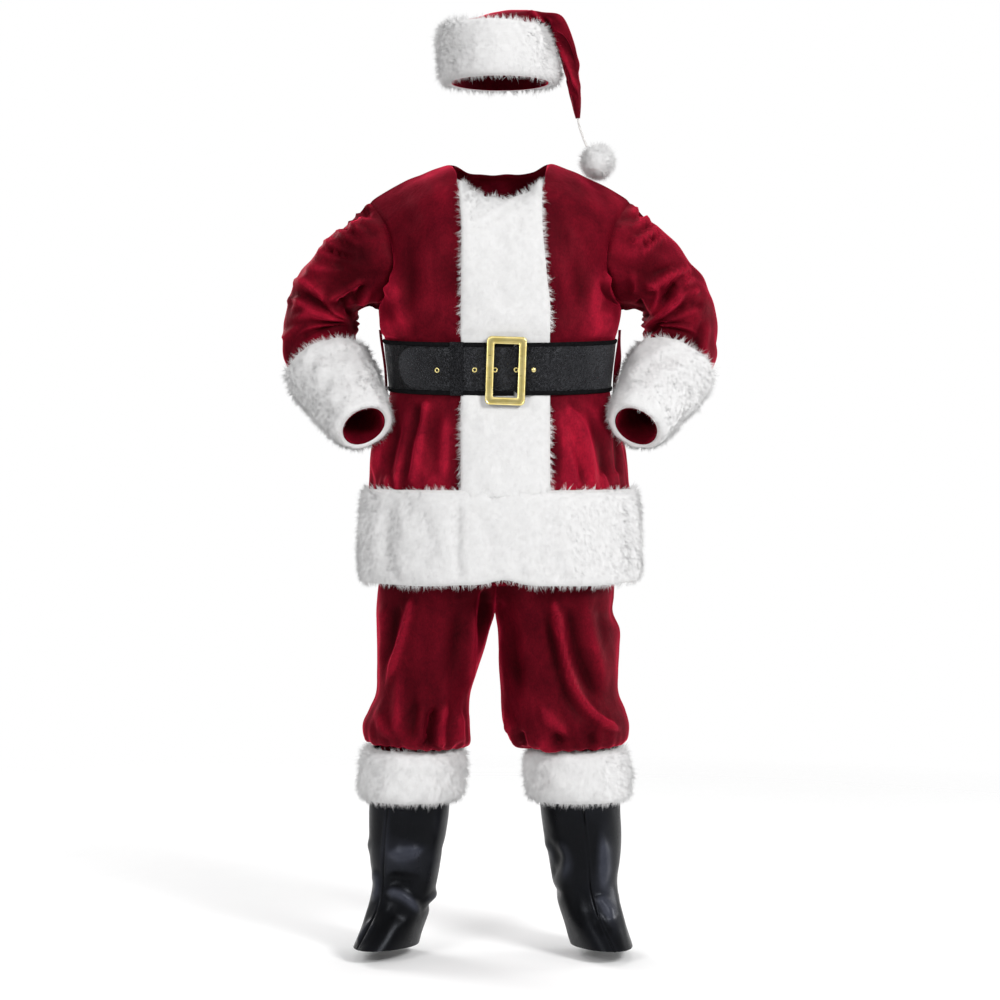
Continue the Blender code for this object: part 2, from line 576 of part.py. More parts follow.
def belt_path(ring):
    """The strap from its tongue's tip, once round and on under the tongue.

    Gives its columns, how far its inner face is off the jacket at each, and what is cut off each edge.
    """
    total = ring.shape[1] - 1
    right, left = FRONT_MIDDLE - PLACKET_COLS, FRONT_MIDDLE + PLACKET_COLS
    near, far = BESIDE_PLACKET
    flare = [column_of_x(ring, x) for x in TONGUE_FLARE_X]
    tip = [(column_of_x(ring, TONGUE_TIP_X + step), TONGUE_NARROW + cut) for step, cut in TONGUE_TIP]
    whole = range(math.ceil(tip[-1][0]), total + 1)
    path = tip + [(c, TONGUE_NARROW if c <= flare[0] else 0.0) for c in sorted({*whole, *flare})]
    end = total + column_of_x(ring, STRAP_END_X)
    path += [(c, 0.0) for c in (*range(total + 1, math.ceil(end)), end)]
    columns, narrow = np.array(path, float).T
    offsets = np.interp(columns % total, (right - 3, right - 2, right - 1, right, left, left + 1),
                        (LIFT, far, near, ON_PLACKET, ON_PLACKET, LIFT))
    offsets += np.where(columns <= left, BELT_THICK + LIFT, 0)
    return columns, offsets, narrow


def strap_grid(ring, ring_n, columns, offsets, low, high):
    """Points on the strap's face between two shares of its height, at an offset from the jacket."""
    face = at_columns(ring, columns) + at_columns(ring_n, columns) * offsets[None, :, None]
    count, cols = len(ring), np.arange(len(columns))
    rows = []
    for r in range(count):
        spot = (low + (high - low) * r / (count - 1)) * (count - 1)
        k = np.minimum(np.floor(spot).astype(int), count - 2)
        t = (spot - k)[:, None]
        rows.append(face[k, cols] * (1 - t) + face[k + 1, cols] * t)
    return np.array(rows)


def build_belt(grids, normals):
    ring, ring_n = belt_surface(grids, normals)
    tall = np.linalg.norm(ring[-1, 0] - ring[0, 0])
    columns, offsets, narrow = belt_path(ring)
    cut = narrow / tall
    inner = strap_grid(ring, ring_n, columns, offsets, cut, 1 - cut)
    outer = strap_grid(ring, ring_n, columns, offsets + BELT_THICK, cut, 1 - cut)
    wall("belt_strap", outer, inner, "vinyl")
    first = int(np.argmax(narrow == 0.0))
    zero, one = np.zeros(len(columns) - first), np.ones(len(columns) - first)
    band = BELT_TRIM / tall
    for name, low, high in (("belt_edging_bottom", zero, zero + band), ("belt_edging_top", one - band, one)):
        at = offsets[first:] + BELT_THICK + LIFT
        a = strap_grid(ring, ring_n, columns[first:], at, low, high)
        b = strap_grid(ring, ring_n, columns[first:], at + TRIM_THICK, low, high)
        wall(name, b[[0, -1]], a[[0, -1]], "edging")
    build_keeper(ring, ring_n, columns, offsets)
    build_eyelets(ring, ring_n, columns, offsets)
    return ring, ring_n


def face_at(ring, ring_n, x, height, offset):
    """A point over the front at x and about a height, an offset off the jacket, and its normal."""
    column = column_of_x(ring, x)
    surface, n = at_columns(ring, [column])[:, 0], unit(at_columns(ring_n, [column])[:, 0])
    spot = np.interp(height, surface[:, 2], np.arange(len(surface)))
    k = min(int(spot), len(surface) - 2)
    t = spot - k
    n = unit(n[k] * (1 - t) + n[k + 1] * t)
    return surface[k] * (1 - t) + surface[k + 1] * t + n * offset, n


def build_keeper(ring, ring_n, columns, offsets):
    """A vinyl strip over both layers of the strap, turned in over its edges."""
    spots = [column_of_x(ring, KEEPER_X[0]), FRONT_MIDDLE - PLACKET_COLS, column_of_x(ring, KEEPER_X[1])]
    surface, n = at_columns(ring, spots), at_columns(ring_n, spots)
    top = np.interp(spots, columns, offsets)[:, None] + BELT_THICK + LIFT
    under = top - 2 * BELT_THICK
    up = unit(surface[-1] - surface[0])

    def strip(grow, face):
        low, high = surface[0] - up * grow, surface[-1] + up * grow
        return np.array([low + n[0] * under, low + n[0] * face, high + n[-1] * face, high + n[-1] * under])

    inner = strip(KEEPER_ROOM, top)
    outer = strip(KEEPER_ROOM + KEEPER_THICK, top + KEEPER_THICK)
    wall("belt_keeper", outer, inner, "vinyl")


def rounded_rectangle(curve, wide, tall, corner):
    """Adds a closed outline with round corners to a 2D curve."""
    points = []
    for quarter, (sx, sy) in enumerate(((1, 1), (-1, 1), (-1, -1), (1, -1))):
        for angle in np.linspace(0, math.pi / 2, CORNER_STEPS + 1) + quarter * math.pi / 2:
            points.append((sx * (wide / 2 - corner) + corner * math.cos(angle),
                           sy * (tall / 2 - corner) + corner * math.sin(angle)))
    line = curve.splines.new("POLY")
    line.points.add(len(points) - 1)
    for spot, (x, y) in zip(line.points, points):
        spot.co = (x, y, 0, 1)
    line.use_cyclic_u = True


def build_buckle(ring, ring_n):
    """A flat gold frame with eased edges, standing before the strap and leaning a little."""
    curve = bpy.data.curves.new("buckle", "CURVE")
    curve.dimensions = "2D"
    curve.fill_mode = "BOTH"
    curve.extrude = BUCKLE_THICK / 2 - BUCKLE_EDGE
    curve.bevel_depth = BUCKLE_EDGE
    curve.bevel_resolution = 1
    curve.offset = -BUCKLE_EDGE
    rounded_rectangle(curve, BUCKLE_WIDE, BUCKLE_TALL, BUCKLE_CORNER)
    rounded_rectangle(curve, BUCKLE_WIDE - 2 * BUCKLE_BAR, BUCKLE_TALL - 2 * BUCKLE_BAR, BUCKLE_HOLE_CORNER)
    curve.materials.append(material("gold"))
    strap_face = ON_PLACKET + 2 * BELT_THICK + LIFT
    point, _ = face_at(ring, ring_n, BUCKLE_X, BUCKLE_HEIGHT, strap_face)
    buckle = bpy.data.objects.new("buckle", curve)
    buckle.location = (BUCKLE_X, point[1] - BUCKLE_STAND - BUCKLE_THICK / 2, BUCKLE_HEIGHT - NECK_HEIGHT)
    buckle.rotation_euler = (math.pi / 2, BUCKLE_LEAN, 0)
    bpy.data.collections["santa_suit"].objects.link(buckle)


def turned(name, profile, centre, normal, slot):
    """A body turned round the normal at a point, from a profile of radius and distance out."""
    mesh = bpy.data.meshes.new(name)
    points = [(radius, 0, out) for radius, out in profile]
    edges = [(k, (k + 1) % len(points)) for k in range(len(points))]
    if any(radius == 0 for radius, _ in profile):
        edges.pop()
    mesh.from_pydata(points, edges, [])
    mesh.materials.append(material(slot))
    obj = bpy.data.objects.new(name, mesh)
    obj.location = centre - (0, 0, NECK_HEIGHT)
    obj.rotation_euler = Vector(normal).to_track_quat("Z", "Y").to_euler()
    screw = obj.modifiers.new("turn", "SCREW")
    screw.steps = screw.render_steps = TURNED_STEPS
    screw.use_merge_vertices = True
    screw.merge_threshold = 0.00001
    bpy.data.collections["santa_suit"].objects.link(obj)


def build_eyelets(ring, ring_n, columns, offsets):
    """Gold eyelets along the strap's tongue and one stud beside the buckle."""
    rows = [(f"belt_eyelet_{k + 1}", x, EYELET_PROFILE) for k, x in enumerate(EYELET_X)]
    for name, x, profile in [*rows, ("belt_stud", STUD_X, STUD_PROFILE)]:
        face = float(np.interp(column_of_x(ring, x), columns, offsets)) + BELT_THICK + EYELET_GAP
        point, n = face_at(ring, ring_n, x, EYELET_HEIGHT, face)
        turned(name, profile, point, n, "gold")


def build_belt_loops():
    """Velvet loops at the side seams that stand off the belt."""
    offs, heights = np.array(BELT_LOOP).T
    rings = np.array(JACKET)
    x = np.interp(heights, rings[:, 0], rings[:, 1]) + offs
    for side, sign in SIDES.items():
        inner = np.array([[(sign * a, sign * y, z) for y in (-LOOP_WIDE / 2, LOOP_WIDE / 2)]
                          for a, z in zip(x, heights)])
        wall("belt_loop_" + side, inner + (sign * LOOP_THICK, 0, 0), inner, "velvet")


# ---- trousers --------------------------------------------------------------------------------------
def leg_row(outer_x, middle, depth, middle_y, way, inner_x=None):
    """Half a leg section from its inner edge to its outer edge, way -1 over the front, 1 over the back."""
    half = outer_x - middle
    inner_x = middle - half if inner_x is None else inner_x
    start = math.acos(-min(abs((inner_x - middle) / half), 1) ** (LIMB_POWER / 2))
    angles = np.linspace(start, 0, LEG_COLS + 1)
    c, s = power_curve(angles, LIMB_POWER)
    return np.stack([middle + half * c, middle_y + way * depth * s], axis=1)


def leg_grid(table, sign, way):
    rows = []
    for height, inner_x, outer_x, front, back, middle_y in reversed(table):
        row = leg_row(outer_x, (inner_x + outer_x) / 2, front if way < 0 else back, middle_y, way)
        rows.append([(sign * x + LEG_SHIFT, y, height) for x, y in row])
    for height, outer_x, middle, front, back, shift, rise in HIPS:
        row = leg_row(outer_x, middle, front if way < 0 else back, 0.0, way, inner_x=0.0)
        rows.append([(sign * x + shift, y, height + rise * y) for x, y in row])
    return np.array(rows)


def build_trousers(grids, normals):
    """Two fronts and two backs, and a waistband just inside the jacket's waist."""
    legs, flips, names = [], [], []
    for side, table in (("right", LEG_RIGHT), ("left", LEG_LEFT)):
        for name, way in (("front", -1), ("back", 1)):
            legs.append(leg_grid(table, SIDES[side], way))
            flips.append(-SIDES[side] * way)
            names.append(f"trousers_{name}_{side}")
    for name, leg, n in zip(names, legs, shared_normals(legs, flips)):
        cloth_panel(name, leg, n, ("first_col", "last_col"))
    rows = slice(BELT_ROWS[0], BELT_ROWS[1] + 1)
    ring, ring_n = ring_grid(*grids[:2])[rows], ring_grid(*normals[:2])[rows]
    outer = ring - ring_n * (CLOTH + LIFT)
    wall("waistband", outer, outer - ring_n * WAISTBAND, "velvet", around=True)


# ---- boot tops -------------------------------------------------------------------------------------
def boot_grid(side):
    """Rings up a boot top, from its front seam round by the left to the front seam again."""
    turn = TOE_OUT[side]
    start = -math.pi / 2 + BOOT_SEAM[side] * math.pi / BOOT_COLS
    c, s = power_curve(np.linspace(start, start + 2 * math.pi, 2 * BOOT_COLS + 1), LIMB_POWER)
    top, bottom = BOOT[0][0], BOOT[-1][0]
    rows = []
    for height, half, front, back, out, middle_y, rise in reversed(BOOT):
        x, y = half * c, np.where(s < 0, front, back) * s
        a = turn * ((top - height) / (top - bottom)) ** 1.2
        turned_x = x * math.cos(a) - y * math.sin(a) + BOOT_X[side] + SIDES[side] * out
        turned_y = x * math.sin(a) + y * math.cos(a) + middle_y
        rows.append(np.stack([turned_x, turned_y, height - rise * np.minimum(y, 0)], axis=1))
    return np.array(rows)


def build_boot_tops():
    """Each is an inner and an outer panel, with seams down its front and back, and a fur cuff."""
    for side in SIDES:
        grid = boot_grid(side)
        n, = shared_normals([grid], [1])
        names = ("inner", "outer") if side == "right" else ("outer", "inner")
        for name, part in zip(names, (np.s_[:, :BOOT_COLS + 1], np.s_[:, BOOT_COLS:])):
            cloth_panel(f"boottop_{name}_{side}", grid[part], n[part], ("first_col", "last_col"), "vinyl")
        part = np.s_[-BOOT_FUR_ROWS:, :-1]
        reach = domed(*grid[part].shape[:2], BOOT_FUR_REACH)
        fur_on("boottop_fur_" + side, grid[part], n[part], reach, around=True)


# ---- the hat ---------------------------------------------------------------------------------------
def crown_grid():
    """Rings up the crown, over and down the tail to its tip, from the left side round by the back."""
    angles = np.linspace(0, 2 * math.pi, 2 * HAT_COLS + 1)
    c, s = np.cos(angles)[:, None], np.sin(angles)[:, None]
    rows = []
    for x, y, height, dx, dz, across, deep, turn in CROWN:
        d = unit(np.array([dx, 0, dz]))
        a = math.radians(turn)
        side = np.array([d[2] * math.cos(a), math.sin(a), -d[0] * math.cos(a)])
        back = np.cross(d, side)
        rows.append(np.array([x, y, height]) + side * across * c + back * deep * s)
    return np.array(rows)


def build_hat():
    """The crown's two panels, its fur band, and the cord to its pompom."""
    grid = crown_grid()
    n, = shared_normals([grid], [1])
    cloth_panel("hat_crown_back", grid[:, :HAT_COLS + 1], n[:, :HAT_COLS + 1], ("first_col", "last_col"))
    cloth_panel("hat_crown_front", grid[:, HAT_COLS:], n[:, HAT_COLS:], ("first_col", "last_col"))
    part = np.s_[:HAT_FUR_ROWS, :-1]
    reach = domed(*grid[part].shape[:2], HAT_FUR_REACH, HAT_FUR_EDGE)
    for row, pressed in HAT_FUR_PRESSED.items():
        reach[row, PRESSED_COLUMNS] = pressed
    fur_on("hat_band_fur", grid[part], n[part], reach, around=True)
    build_cord()
    pompom = bpy.data.meshes.new("pompom")
    ball = bmesh.new()
    bmesh.ops.create_icosphere(ball, subdivisions=3, radius=POMPOM_RADIUS)
    ball.to_mesh(pompom)
    ball.free()
    pompom.materials.append(material("fur"))
    obj = bpy.data.objects.new("pompom", pompom)
    obj.location = np.array(POMPOM) - (0, 0, NECK_HEIGHT)
    bpy.data.collections["santa_suit"].objects.link(obj)


def build_cord():
    """The short cord from the hat's tip to its pompom."""
    points = along(CORD_POINTS, CORD_STEPS) - (0, 0, NECK_HEIGHT)
    curve = bpy.data.curves.new("hat_cord", "CURVE")
    curve.dimensions = "3D"
    curve.bevel_depth = CORD_RADIUS
    curve.bevel_resolution = 2
    curve.use_fill_caps = True
    line = curve.splines.new("POLY")
    line.points.add(len(points) - 1)
    for spot, point in zip(line.points, points):
        spot.co = (*point, 1)
    curve.materials.append(material("fur"))
    bpy.data.collections["santa_suit"].objects.link(bpy.data.objects.new("hat_cord", curve))


def main():
    clear()
    if "santa_suit" not in bpy.data.collections:
        bpy.context.scene.collection.children.link(bpy.data.collections.new("santa_suit"))
    grids, normals = build_jacket()
    build_front_and_hem_fur(grids, normals)
    ring, ring_n = build_belt(grids, normals)
    build_buckle(ring, ring_n)
    build_belt_loops()
    build_trousers(grids, normals)
    build_boot_tops()
    build_hat()


main()
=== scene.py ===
"""The looks of a worn Santa suit: crushed velvet, long-pile fur trim, grained vinyl and a gold buckle.

Metres, in the CAD frame: +Z up, the front faces -Y, +X is the wearer's left. The tables and the coarse
grids below are the CAD's own. Here each grid is refined to a smooth surface through its points, creased
by tables of folds, and closed into a thin shell. Fur is a soft body with clumps of strands on it.
"""
import math

import bmesh
import bpy
import numpy as np
from mathutils import Matrix, Vector

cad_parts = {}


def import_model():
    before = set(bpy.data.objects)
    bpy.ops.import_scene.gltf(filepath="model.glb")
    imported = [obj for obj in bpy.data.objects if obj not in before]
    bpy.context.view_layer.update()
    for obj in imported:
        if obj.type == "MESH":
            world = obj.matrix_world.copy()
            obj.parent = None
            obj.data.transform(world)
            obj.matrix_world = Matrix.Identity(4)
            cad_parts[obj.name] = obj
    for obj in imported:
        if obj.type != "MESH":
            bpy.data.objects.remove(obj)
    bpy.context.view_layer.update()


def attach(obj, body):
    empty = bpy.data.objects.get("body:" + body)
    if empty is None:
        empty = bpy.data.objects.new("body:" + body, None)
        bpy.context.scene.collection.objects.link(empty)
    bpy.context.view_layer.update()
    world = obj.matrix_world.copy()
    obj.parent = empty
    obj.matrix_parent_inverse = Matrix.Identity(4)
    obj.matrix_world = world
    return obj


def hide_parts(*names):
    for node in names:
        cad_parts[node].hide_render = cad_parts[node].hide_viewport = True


LOOKS = {}                          # every material, by its slot's or its own name
SIDES = {"right": -1, "left": 1}    # the wearer's sides and their sign along X
WHOLE_TURN = 2 * math.pi

# ---- the CAD's sizes ----
NECK_HEIGHT = 1.470
CLOTH = 0.0020          # velvet and vinyl walls
LIFT = 0.0004           # what lies on a panel is this far off it
BODY_POWER = 2.3        # superellipse power of the torso sections
LIMB_POWER = 2.1        # and of the legs and sleeves

PLACKET_HALF = 0.082    # half width of the fur strip down the front
PLACKET_X = 0.010       # its middle, a little to the wearer's left
PLACKET_REACH, PLACKET_EDGE = 0.016, 0.008
HEM_REACH = 0.021
CUFF_REACH, CUFF_EDGE = 0.020, 0.016
BOOT_FUR_REACH = 0.026
HAT_FUR_REACH, HAT_FUR_EDGE = 0.027, 0.018
FUR_EDGE = 0.011        # a fur trim's reach at its edges
FUR_PRESSED = 0.003     # the placket's reach under the belt
FUR_PRESS_FADE = 0.050  # and how far above and below the belt it comes back

BELT_THICK = 0.0025
BELT_TRIM = 0.0075      # width of the fabric edging
ON_PLACKET = LIFT + FUR_PRESSED + LIFT      # how far the strap stands off the jacket over the fur
BESIDE_PLACKET = (0.0028, 0.0012)           # and at the next columns to the right, under the keeper
TONGUE_X = (-0.183, -0.171, -0.153)         # the columns of the tongue's tip
TONGUE_FLARE_X = (0.0285, 0.0345)           # where the tongue widens to the strap
TONGUE_NARROW = 0.0083  # the tongue is this much narrower at each edge, to clear the edging
STRAP_END_X = 0.030     # where the other end stops, under the tongue
KEEPER_X = (-0.0905, -0.0665)
KEEPER_ROOM, KEEPER_THICK = 0.0005, 0.0010
BUCKLE_X, BUCKLE_HEIGHT = 0.011, 1.1175
BUCKLE_WIDE, BUCKLE_TALL, BUCKLE_BAR, BUCKLE_THICK = 0.074, 0.127, 0.0145, 0.0040
BUCKLE_CORNER, BUCKLE_HOLE_CORNER = 0.009, 0.002    # radii
BUCKLE_LEAN = math.radians(2.0)
BUCKLE_STAND = 0.0024   # room for the eyelets behind its bars
EYELET_X = (-0.114, -0.046, -0.009, 0.0295)
STUD_X = 0.061
EYELET_HEIGHT = 1.119
LOOP_WIDE, LOOP_THICK = 0.014, 0.0024
WAISTBAND = 0.004

# ---- tables, one row a section; heights above the floor ----
# height, half width, front depth, back depth, rise of the ring for each metre towards the back
JACKET = (
    (0.720, 0.252, 0.186, 0.166, 0.00),
    (0.770, 0.251, 0.185, 0.165, 0.00),
    (0.830, 0.249, 0.183, 0.163, 0.00),
    (0.896, 0.246, 0.180, 0.160, 0.00),
    (0.950, 0.240, 0.175, 0.154, 0.02),
    (1.005, 0.230, 0.170, 0.147, 0.05),
    (1.050, 0.219, 0.165, 0.141, 0.07),
    (1.085, 0.211, 0.162, 0.136, 0.08),
    (1.118, 0.213, 0.162, 0.136, 0.08),
    (1.151, 0.217, 0.163, 0.136, 0.08),
    (1.183, 0.221, 0.164, 0.136, 0.08),
    (1.203, 0.228, 0.168, 0.140, 0.06),
    (1.238, 0.234, 0.163, 0.141, 0.00),
)
BELT_ROWS = (7, 8, 9, 10)       # the rings under the belt
HEM_ROWS = (0, 1, 2, 3)         # the rings under the hem fur
# the armhole from the armpit to the shoulder point, front then back: x, y, height
ARMHOLE_FRONT = ((0.234, 0.000, 1.238), (0.2225, -0.030, 1.254), (0.209, -0.060, 1.284),
                 (0.201, -0.084, 1.327), (0.218, -0.058, 1.398), (0.250, 0.000, 1.444))
ARMHOLE_BACK = ((0.234, 0.000, 1.238), (0.2225, 0.026, 1.257), (0.210, 0.056, 1.290),
                (0.205, 0.082, 1.332), (0.222, 0.066, 1.401), (0.250, 0.000, 1.444))
# the neckline: x from the middle, y, height
NECK_FRONT = ((0.000, -0.104, 1.428), (0.041, -0.096, 1.436), (0.082, -0.056, 1.474), (0.095, 0.000, 1.514))
NECK_BACK = ((0.000, 0.064, 1.502), (0.041, 0.058, 1.504), (0.082, 0.030, 1.510), (0.095, 0.000, 1.514))
SHOULDER_BOW = 0.010
NECK_COLS_FRONT, NECK_COLS_BACK = 3, 2      # columns from the middle to the neck's side
UPPER_ROWS = 7                  # rows of the panels above the armpit
ARMHOLE_SPREAD = 1.3            # how fast the armhole's pull on the panel fades, as a power
# sleeve sections for the wearer's left: x, y, height, direction x y z, radius across, radius up
SLEEVE = (
    (0.2730, 0.000, 1.3240, 0.98, 0.03, -0.17, 0.0820, 0.0820),
    (0.3050, 0.010, 1.3000, 0.90, 0.10, -0.41, 0.0760, 0.0700),
    (0.3335, 0.021, 1.2640, 0.53, 0.16, -0.83, 0.0730, 0.0670),
    (0.3455, 0.030, 1.2270, 0.17, 0.10, -0.98, 0.0710, 0.0690),
    (0.3490, 0.032, 1.1880, -0.05, -0.18, -0.98, 0.0690, 0.0700),
    (0.3440, 0.021, 1.1560, -0.22, -0.45, -0.87, 0.0670, 0.0700),
    (0.3340, 0.003, 1.1320, -0.33, -0.60, -0.73, 0.0640, 0.0670),
    (0.3190, -0.018, 1.1110, -0.38, -0.66, -0.64, 0.0600, 0.0640),
    (0.3030, -0.045, 1.0870, -0.40, -0.69, -0.60, 0.0560, 0.0590),
    (0.2865, -0.074, 1.0630, -0.41, -0.70, -0.59, 0.0510, 0.0530),
    (0.2700, -0.102, 1.0390, -0.41, -0.70, -0.59, 0.0460, 0.0470),
    (0.2540, -0.130, 1.0150, -0.41, -0.70, -0.59, 0.0410, 0.0420),
)
CUFF_FIRST = 7                  # the ring of the sleeve, its armhole being 0, where the cuff fur starts
# trousers above the crotch, both sides alike: height, outer x, middle of the section, front, back,
# shift of the whole to +x, rise of the ring for each metre towards the back
HIPS = (
    (0.655, 0.2290, 0.1145, 0.128, 0.122, -0.010, 0.00),
    (0.690, 0.2280, 0.1050, 0.132, 0.126, -0.008, 0.00),
    (0.740, 0.2270, 0.0800, 0.138, 0.132, -0.004, 0.00),
    (0.810, 0.2260, 0.0350, 0.145, 0.136, 0.000, 0.00),
    (0.890, 0.2230, 0.0000, 0.150, 0.134, 0.000, 0.00),
    (0.970, 0.2140, 0.0000, 0.151, 0.130, 0.000, 0.02),
    (1.035, 0.2080, 0.0000, 0.155, 0.129, 0.000, 0.05),
    (1.0842, 0.2050, 0.0000, 0.1560, 0.1305, 0.000, 0.08),
)
# a leg below the crotch, down to the gathered end: height, inner x, outer x, front, back, middle y
LEG_SHIFT = -0.010
LEG_RIGHT = (
    (0.628, 0.0080, 0.2285, 0.124, 0.118, 0.000),
    (0.590, 0.0180, 0.2275, 0.118, 0.114, 0.000),
    (0.545, 0.0330, 0.2280, 0.112, 0.110, 0.000),
    (0.500, 0.0460, 0.2310, 0.108, 0.107, 0.000),
    (0.470, 0.0480, 0.2440, 0.110, 0.107, 0.000),
    (0.443, 0.0470, 0.2530, 0.112, 0.108, 0.000),
    (0.424, 0.0480, 0.2460, 0.106, 0.104, 0.001),
    (0.411, 0.0640, 0.2280, 0.092, 0.092, 0.003),
    (0.405, 0.0860, 0.2190, 0.074, 0.074, 0.006),
    (0.385, 0.0910, 0.2220, 0.065, 0.065, 0.006),
    (0.350, 0.0857, 0.2273, 0.0708, 0.0708, 0.006),
)
LEG_LEFT = (
    (0.628, 0.0040, 0.2410, 0.124, 0.118, 0.000),
    (0.590, 0.0060, 0.2410, 0.120, 0.115, 0.000),
    (0.545, 0.0080, 0.2390, 0.116, 0.112, 0.000),
    (0.500, 0.0110, 0.2400, 0.112, 0.109, 0.000),
    (0.470, 0.0150, 0.2520, 0.113, 0.110, 0.000),
    (0.443, 0.0210, 0.2590, 0.112, 0.109, 0.000),
    (0.424, 0.0300, 0.2540, 0.106, 0.104, 0.001),
    (0.411, 0.0560, 0.2330, 0.092, 0.092, 0.003),
    (0.405, 0.0820, 0.2220, 0.074, 0.074, 0.006),
    (0.385, 0.0915, 0.2225, 0.065, 0.065, 0.006),
    (0.350, 0.0862, 0.2278, 0.0708, 0.0708, 0.006),
)
# a boot top: height, half width, front, back, middle x, middle y, rise to the front
BOOT = (
    (0.398, 0.0775, 0.0780, 0.0780, 0.000, 0.006, 0.00),
    (0.345, 0.0780, 0.0790, 0.0790, 0.003, 0.006, 0.00),
    (0.286, 0.0770, 0.0790, 0.0800, 0.008, 0.006, 0.00),
    (0.232, 0.0740, 0.0770, 0.0800, 0.012, 0.007, 0.00),
    (0.180, 0.0680, 0.0720, 0.0760, 0.016, 0.007, 0.00),
    (0.134, 0.0620, 0.0680, 0.0700, 0.018, 0.006, 0.00),
    (0.096, 0.0600, 0.0760, 0.0670, 0.025, 0.003, 0.02),
    (0.058, 0.0580, 0.0980, 0.0640, 0.036, 0.000, 0.04),
    (0.020, 0.0570, 0.1230, 0.0640, 0.047, -0.002, 0.06),
)
BOOT_FUR_ROWS = 3               # the rings under the fur cuff, from the top
BOOT_X = {"right": -0.1665, "left": 0.1470}
TOE_OUT = {"right": math.radians(-17), "left": math.radians(10)}
BOOT_SEAM = {"right": -1, "left": 0}    # columns by which a boot top's seams are turned to its left
# the hat: x, y, height, direction x and z of the axis, radius across, radius in y, turn in degrees
CROWN = (
    (0.0000, 0.004, 1.672, 0.00, 1.00, 0.0930, 0.1040, 0),
    (0.0000, 0.004, 1.725, 0.00, 1.00, 0.0930, 0.1040, 0),
    (0.0000, 0.004, 1.772, 0.03, 1.00, 0.0890, 0.1000, 0),
    (0.0290, 0.008, 1.788, 0.18, 0.98, 0.0600, 0.0820, 0),
    (0.0660, 0.006, 1.7940, 0.44, 0.90, 0.0280, 0.0680, -4),
    (0.0870, 0.002, 1.7910, 0.62, 0.78, 0.0150, 0.0590, -8),
    (0.1040, -0.003, 1.7800, 0.82, -0.57, 0.0110, 0.0520, -12),
    (0.1190, -0.006, 1.7540, 0.42, -0.91, 0.0110, 0.0440, -16),
    (0.1340, -0.006, 1.714, 0.22, -0.98, 0.0120, 0.0350, -18),
    (0.1415, -0.004, 1.668, 0.10, -1.00, 0.0115, 0.0240, -16),
    (0.1465, 0.002, 1.630, 0.08, -1.00, 0.0090, 0.0130, -10),
    (0.1490, 0.004, 1.605, 0.06, -1.00, 0.0055, 0.0055, 0),
)
HAT_FUR_PRESSED = {2: 0.003, 1: 0.016}  # the band fur's reach by row, under the crown's tail
HAT_FUR_ROWS = 3                # the rings under the band, from the brim
CORD_POINTS = ((0.1493, 0.004, 1.609), (0.1500, 0.004, 1.600), (0.1520, 0.003, 1.590),
               (0.1560, 0.002, 1.577), (0.1610, 0.001, 1.563), (0.1663, 0.000, 1.5505))
CORD_RADIUS = 0.0022
POMPOM, POMPOM_RADIUS = (0.187, -0.002, 1.5215), 0.0355

# a belt loop's path down the side: distance off the jacket, height
BELT_LOOP = (
    (0.0004, 1.200), (0.0026, 1.193), (0.0054, 1.184), (0.0054, 1.172),
    (0.0050, 1.118), (0.0054, 1.094), (0.0054, 1.083), (0.0004, 1.068),
)
# columns: from the placket to a side seam, half the back, round a sleeve, half of a leg, boot and hat
SIDE_COLS, BACK_COLS, SLEEVE_COLS, LEG_COLS, BOOT_COLS, HAT_COLS = 5, 6, 14, 7, 7, 7
PLACKET_COLS = 2                # columns each side of the placket's middle
FRONT_MIDDLE = SIDE_COLS + PLACKET_COLS
# soft folds in the skirt: where round the body (-1 to 1, seam to seam over the front or the back), top
# and bottom height, drift of the first on the way down, half width in the first's units, reach outward
SKIRT_FOLDS_FRONT = (
    (-0.80, 1.060, 0.720, -0.02, 0.09, 0.006),
    (-0.56, 1.060, 0.720, -0.05, 0.07, -0.007),
    (0.60, 1.060, 0.720, 0.10, 0.08, -0.006),
    (0.84, 1.060, 0.720, 0.02, 0.08, 0.006),
)
SKIRT_FOLDS_BACK = (
    (-0.72, 1.060, 0.720, -0.04, 0.10, 0.007),
    (-0.30, 1.060, 0.720, -0.02, 0.10, -0.007),
    (0.05, 1.060, 0.720, 0.00, 0.09, 0.006),
    (0.40, 1.060, 0.720, 0.03, 0.10, -0.007),
    (0.76, 1.060, 0.720, 0.05, 0.10, 0.007),
)

# ---- this file's own sizes ----
EYE_Y, EYE_HEIGHT = -4.8, 1.0   # the camera, before the middle and above the floor
AIM_HEIGHT, LENS = 0.874, 90
FINE, HAT_ROWS_FINE = 9, 12     # rows for each of a CAD grid's, and for each of the crown's
JACKET_FINE, SLEEVE_FINE, LEG_FINE, BOOT_FINE, HAT_FINE = 12, 9, 10, 9, 8       # and columns
CROTCH_ROW = len(LEG_RIGHT)     # the row of a leg's grid where the two legs meet
BLOUSE_ROW = 4                  # and where it is widest above the boot
BLOUSE_HEIGHT, PUCKER_HEIGHT, TUCK_HEIGHT = 0.424, 0.408, 0.395     # there, and on the way down from it
UNDER_JACKET = 0.80             # the trousers lie plain from here up
BOOT_FUR_LOW, BAND_TOP = 0.345, 1.77    # where the boots' fur ends, and the hat's
SIDE_EDGES = ("first_col", "last_col")
BODY_GIRTH = WHOLE_TURN * 0.21  # mean lengths of a turn, for the charts that folds are drawn on
SLEEVE_GIRTH, BOOT_GIRTH, HAT_GIRTH = 0.44, 0.48, 0.62
FACING = 0.35                   # how far a face is turned to the front where its folds are whole
HIGHLIGHT_REACH = 0.007               # a fold this high gets the brightest painted highlight
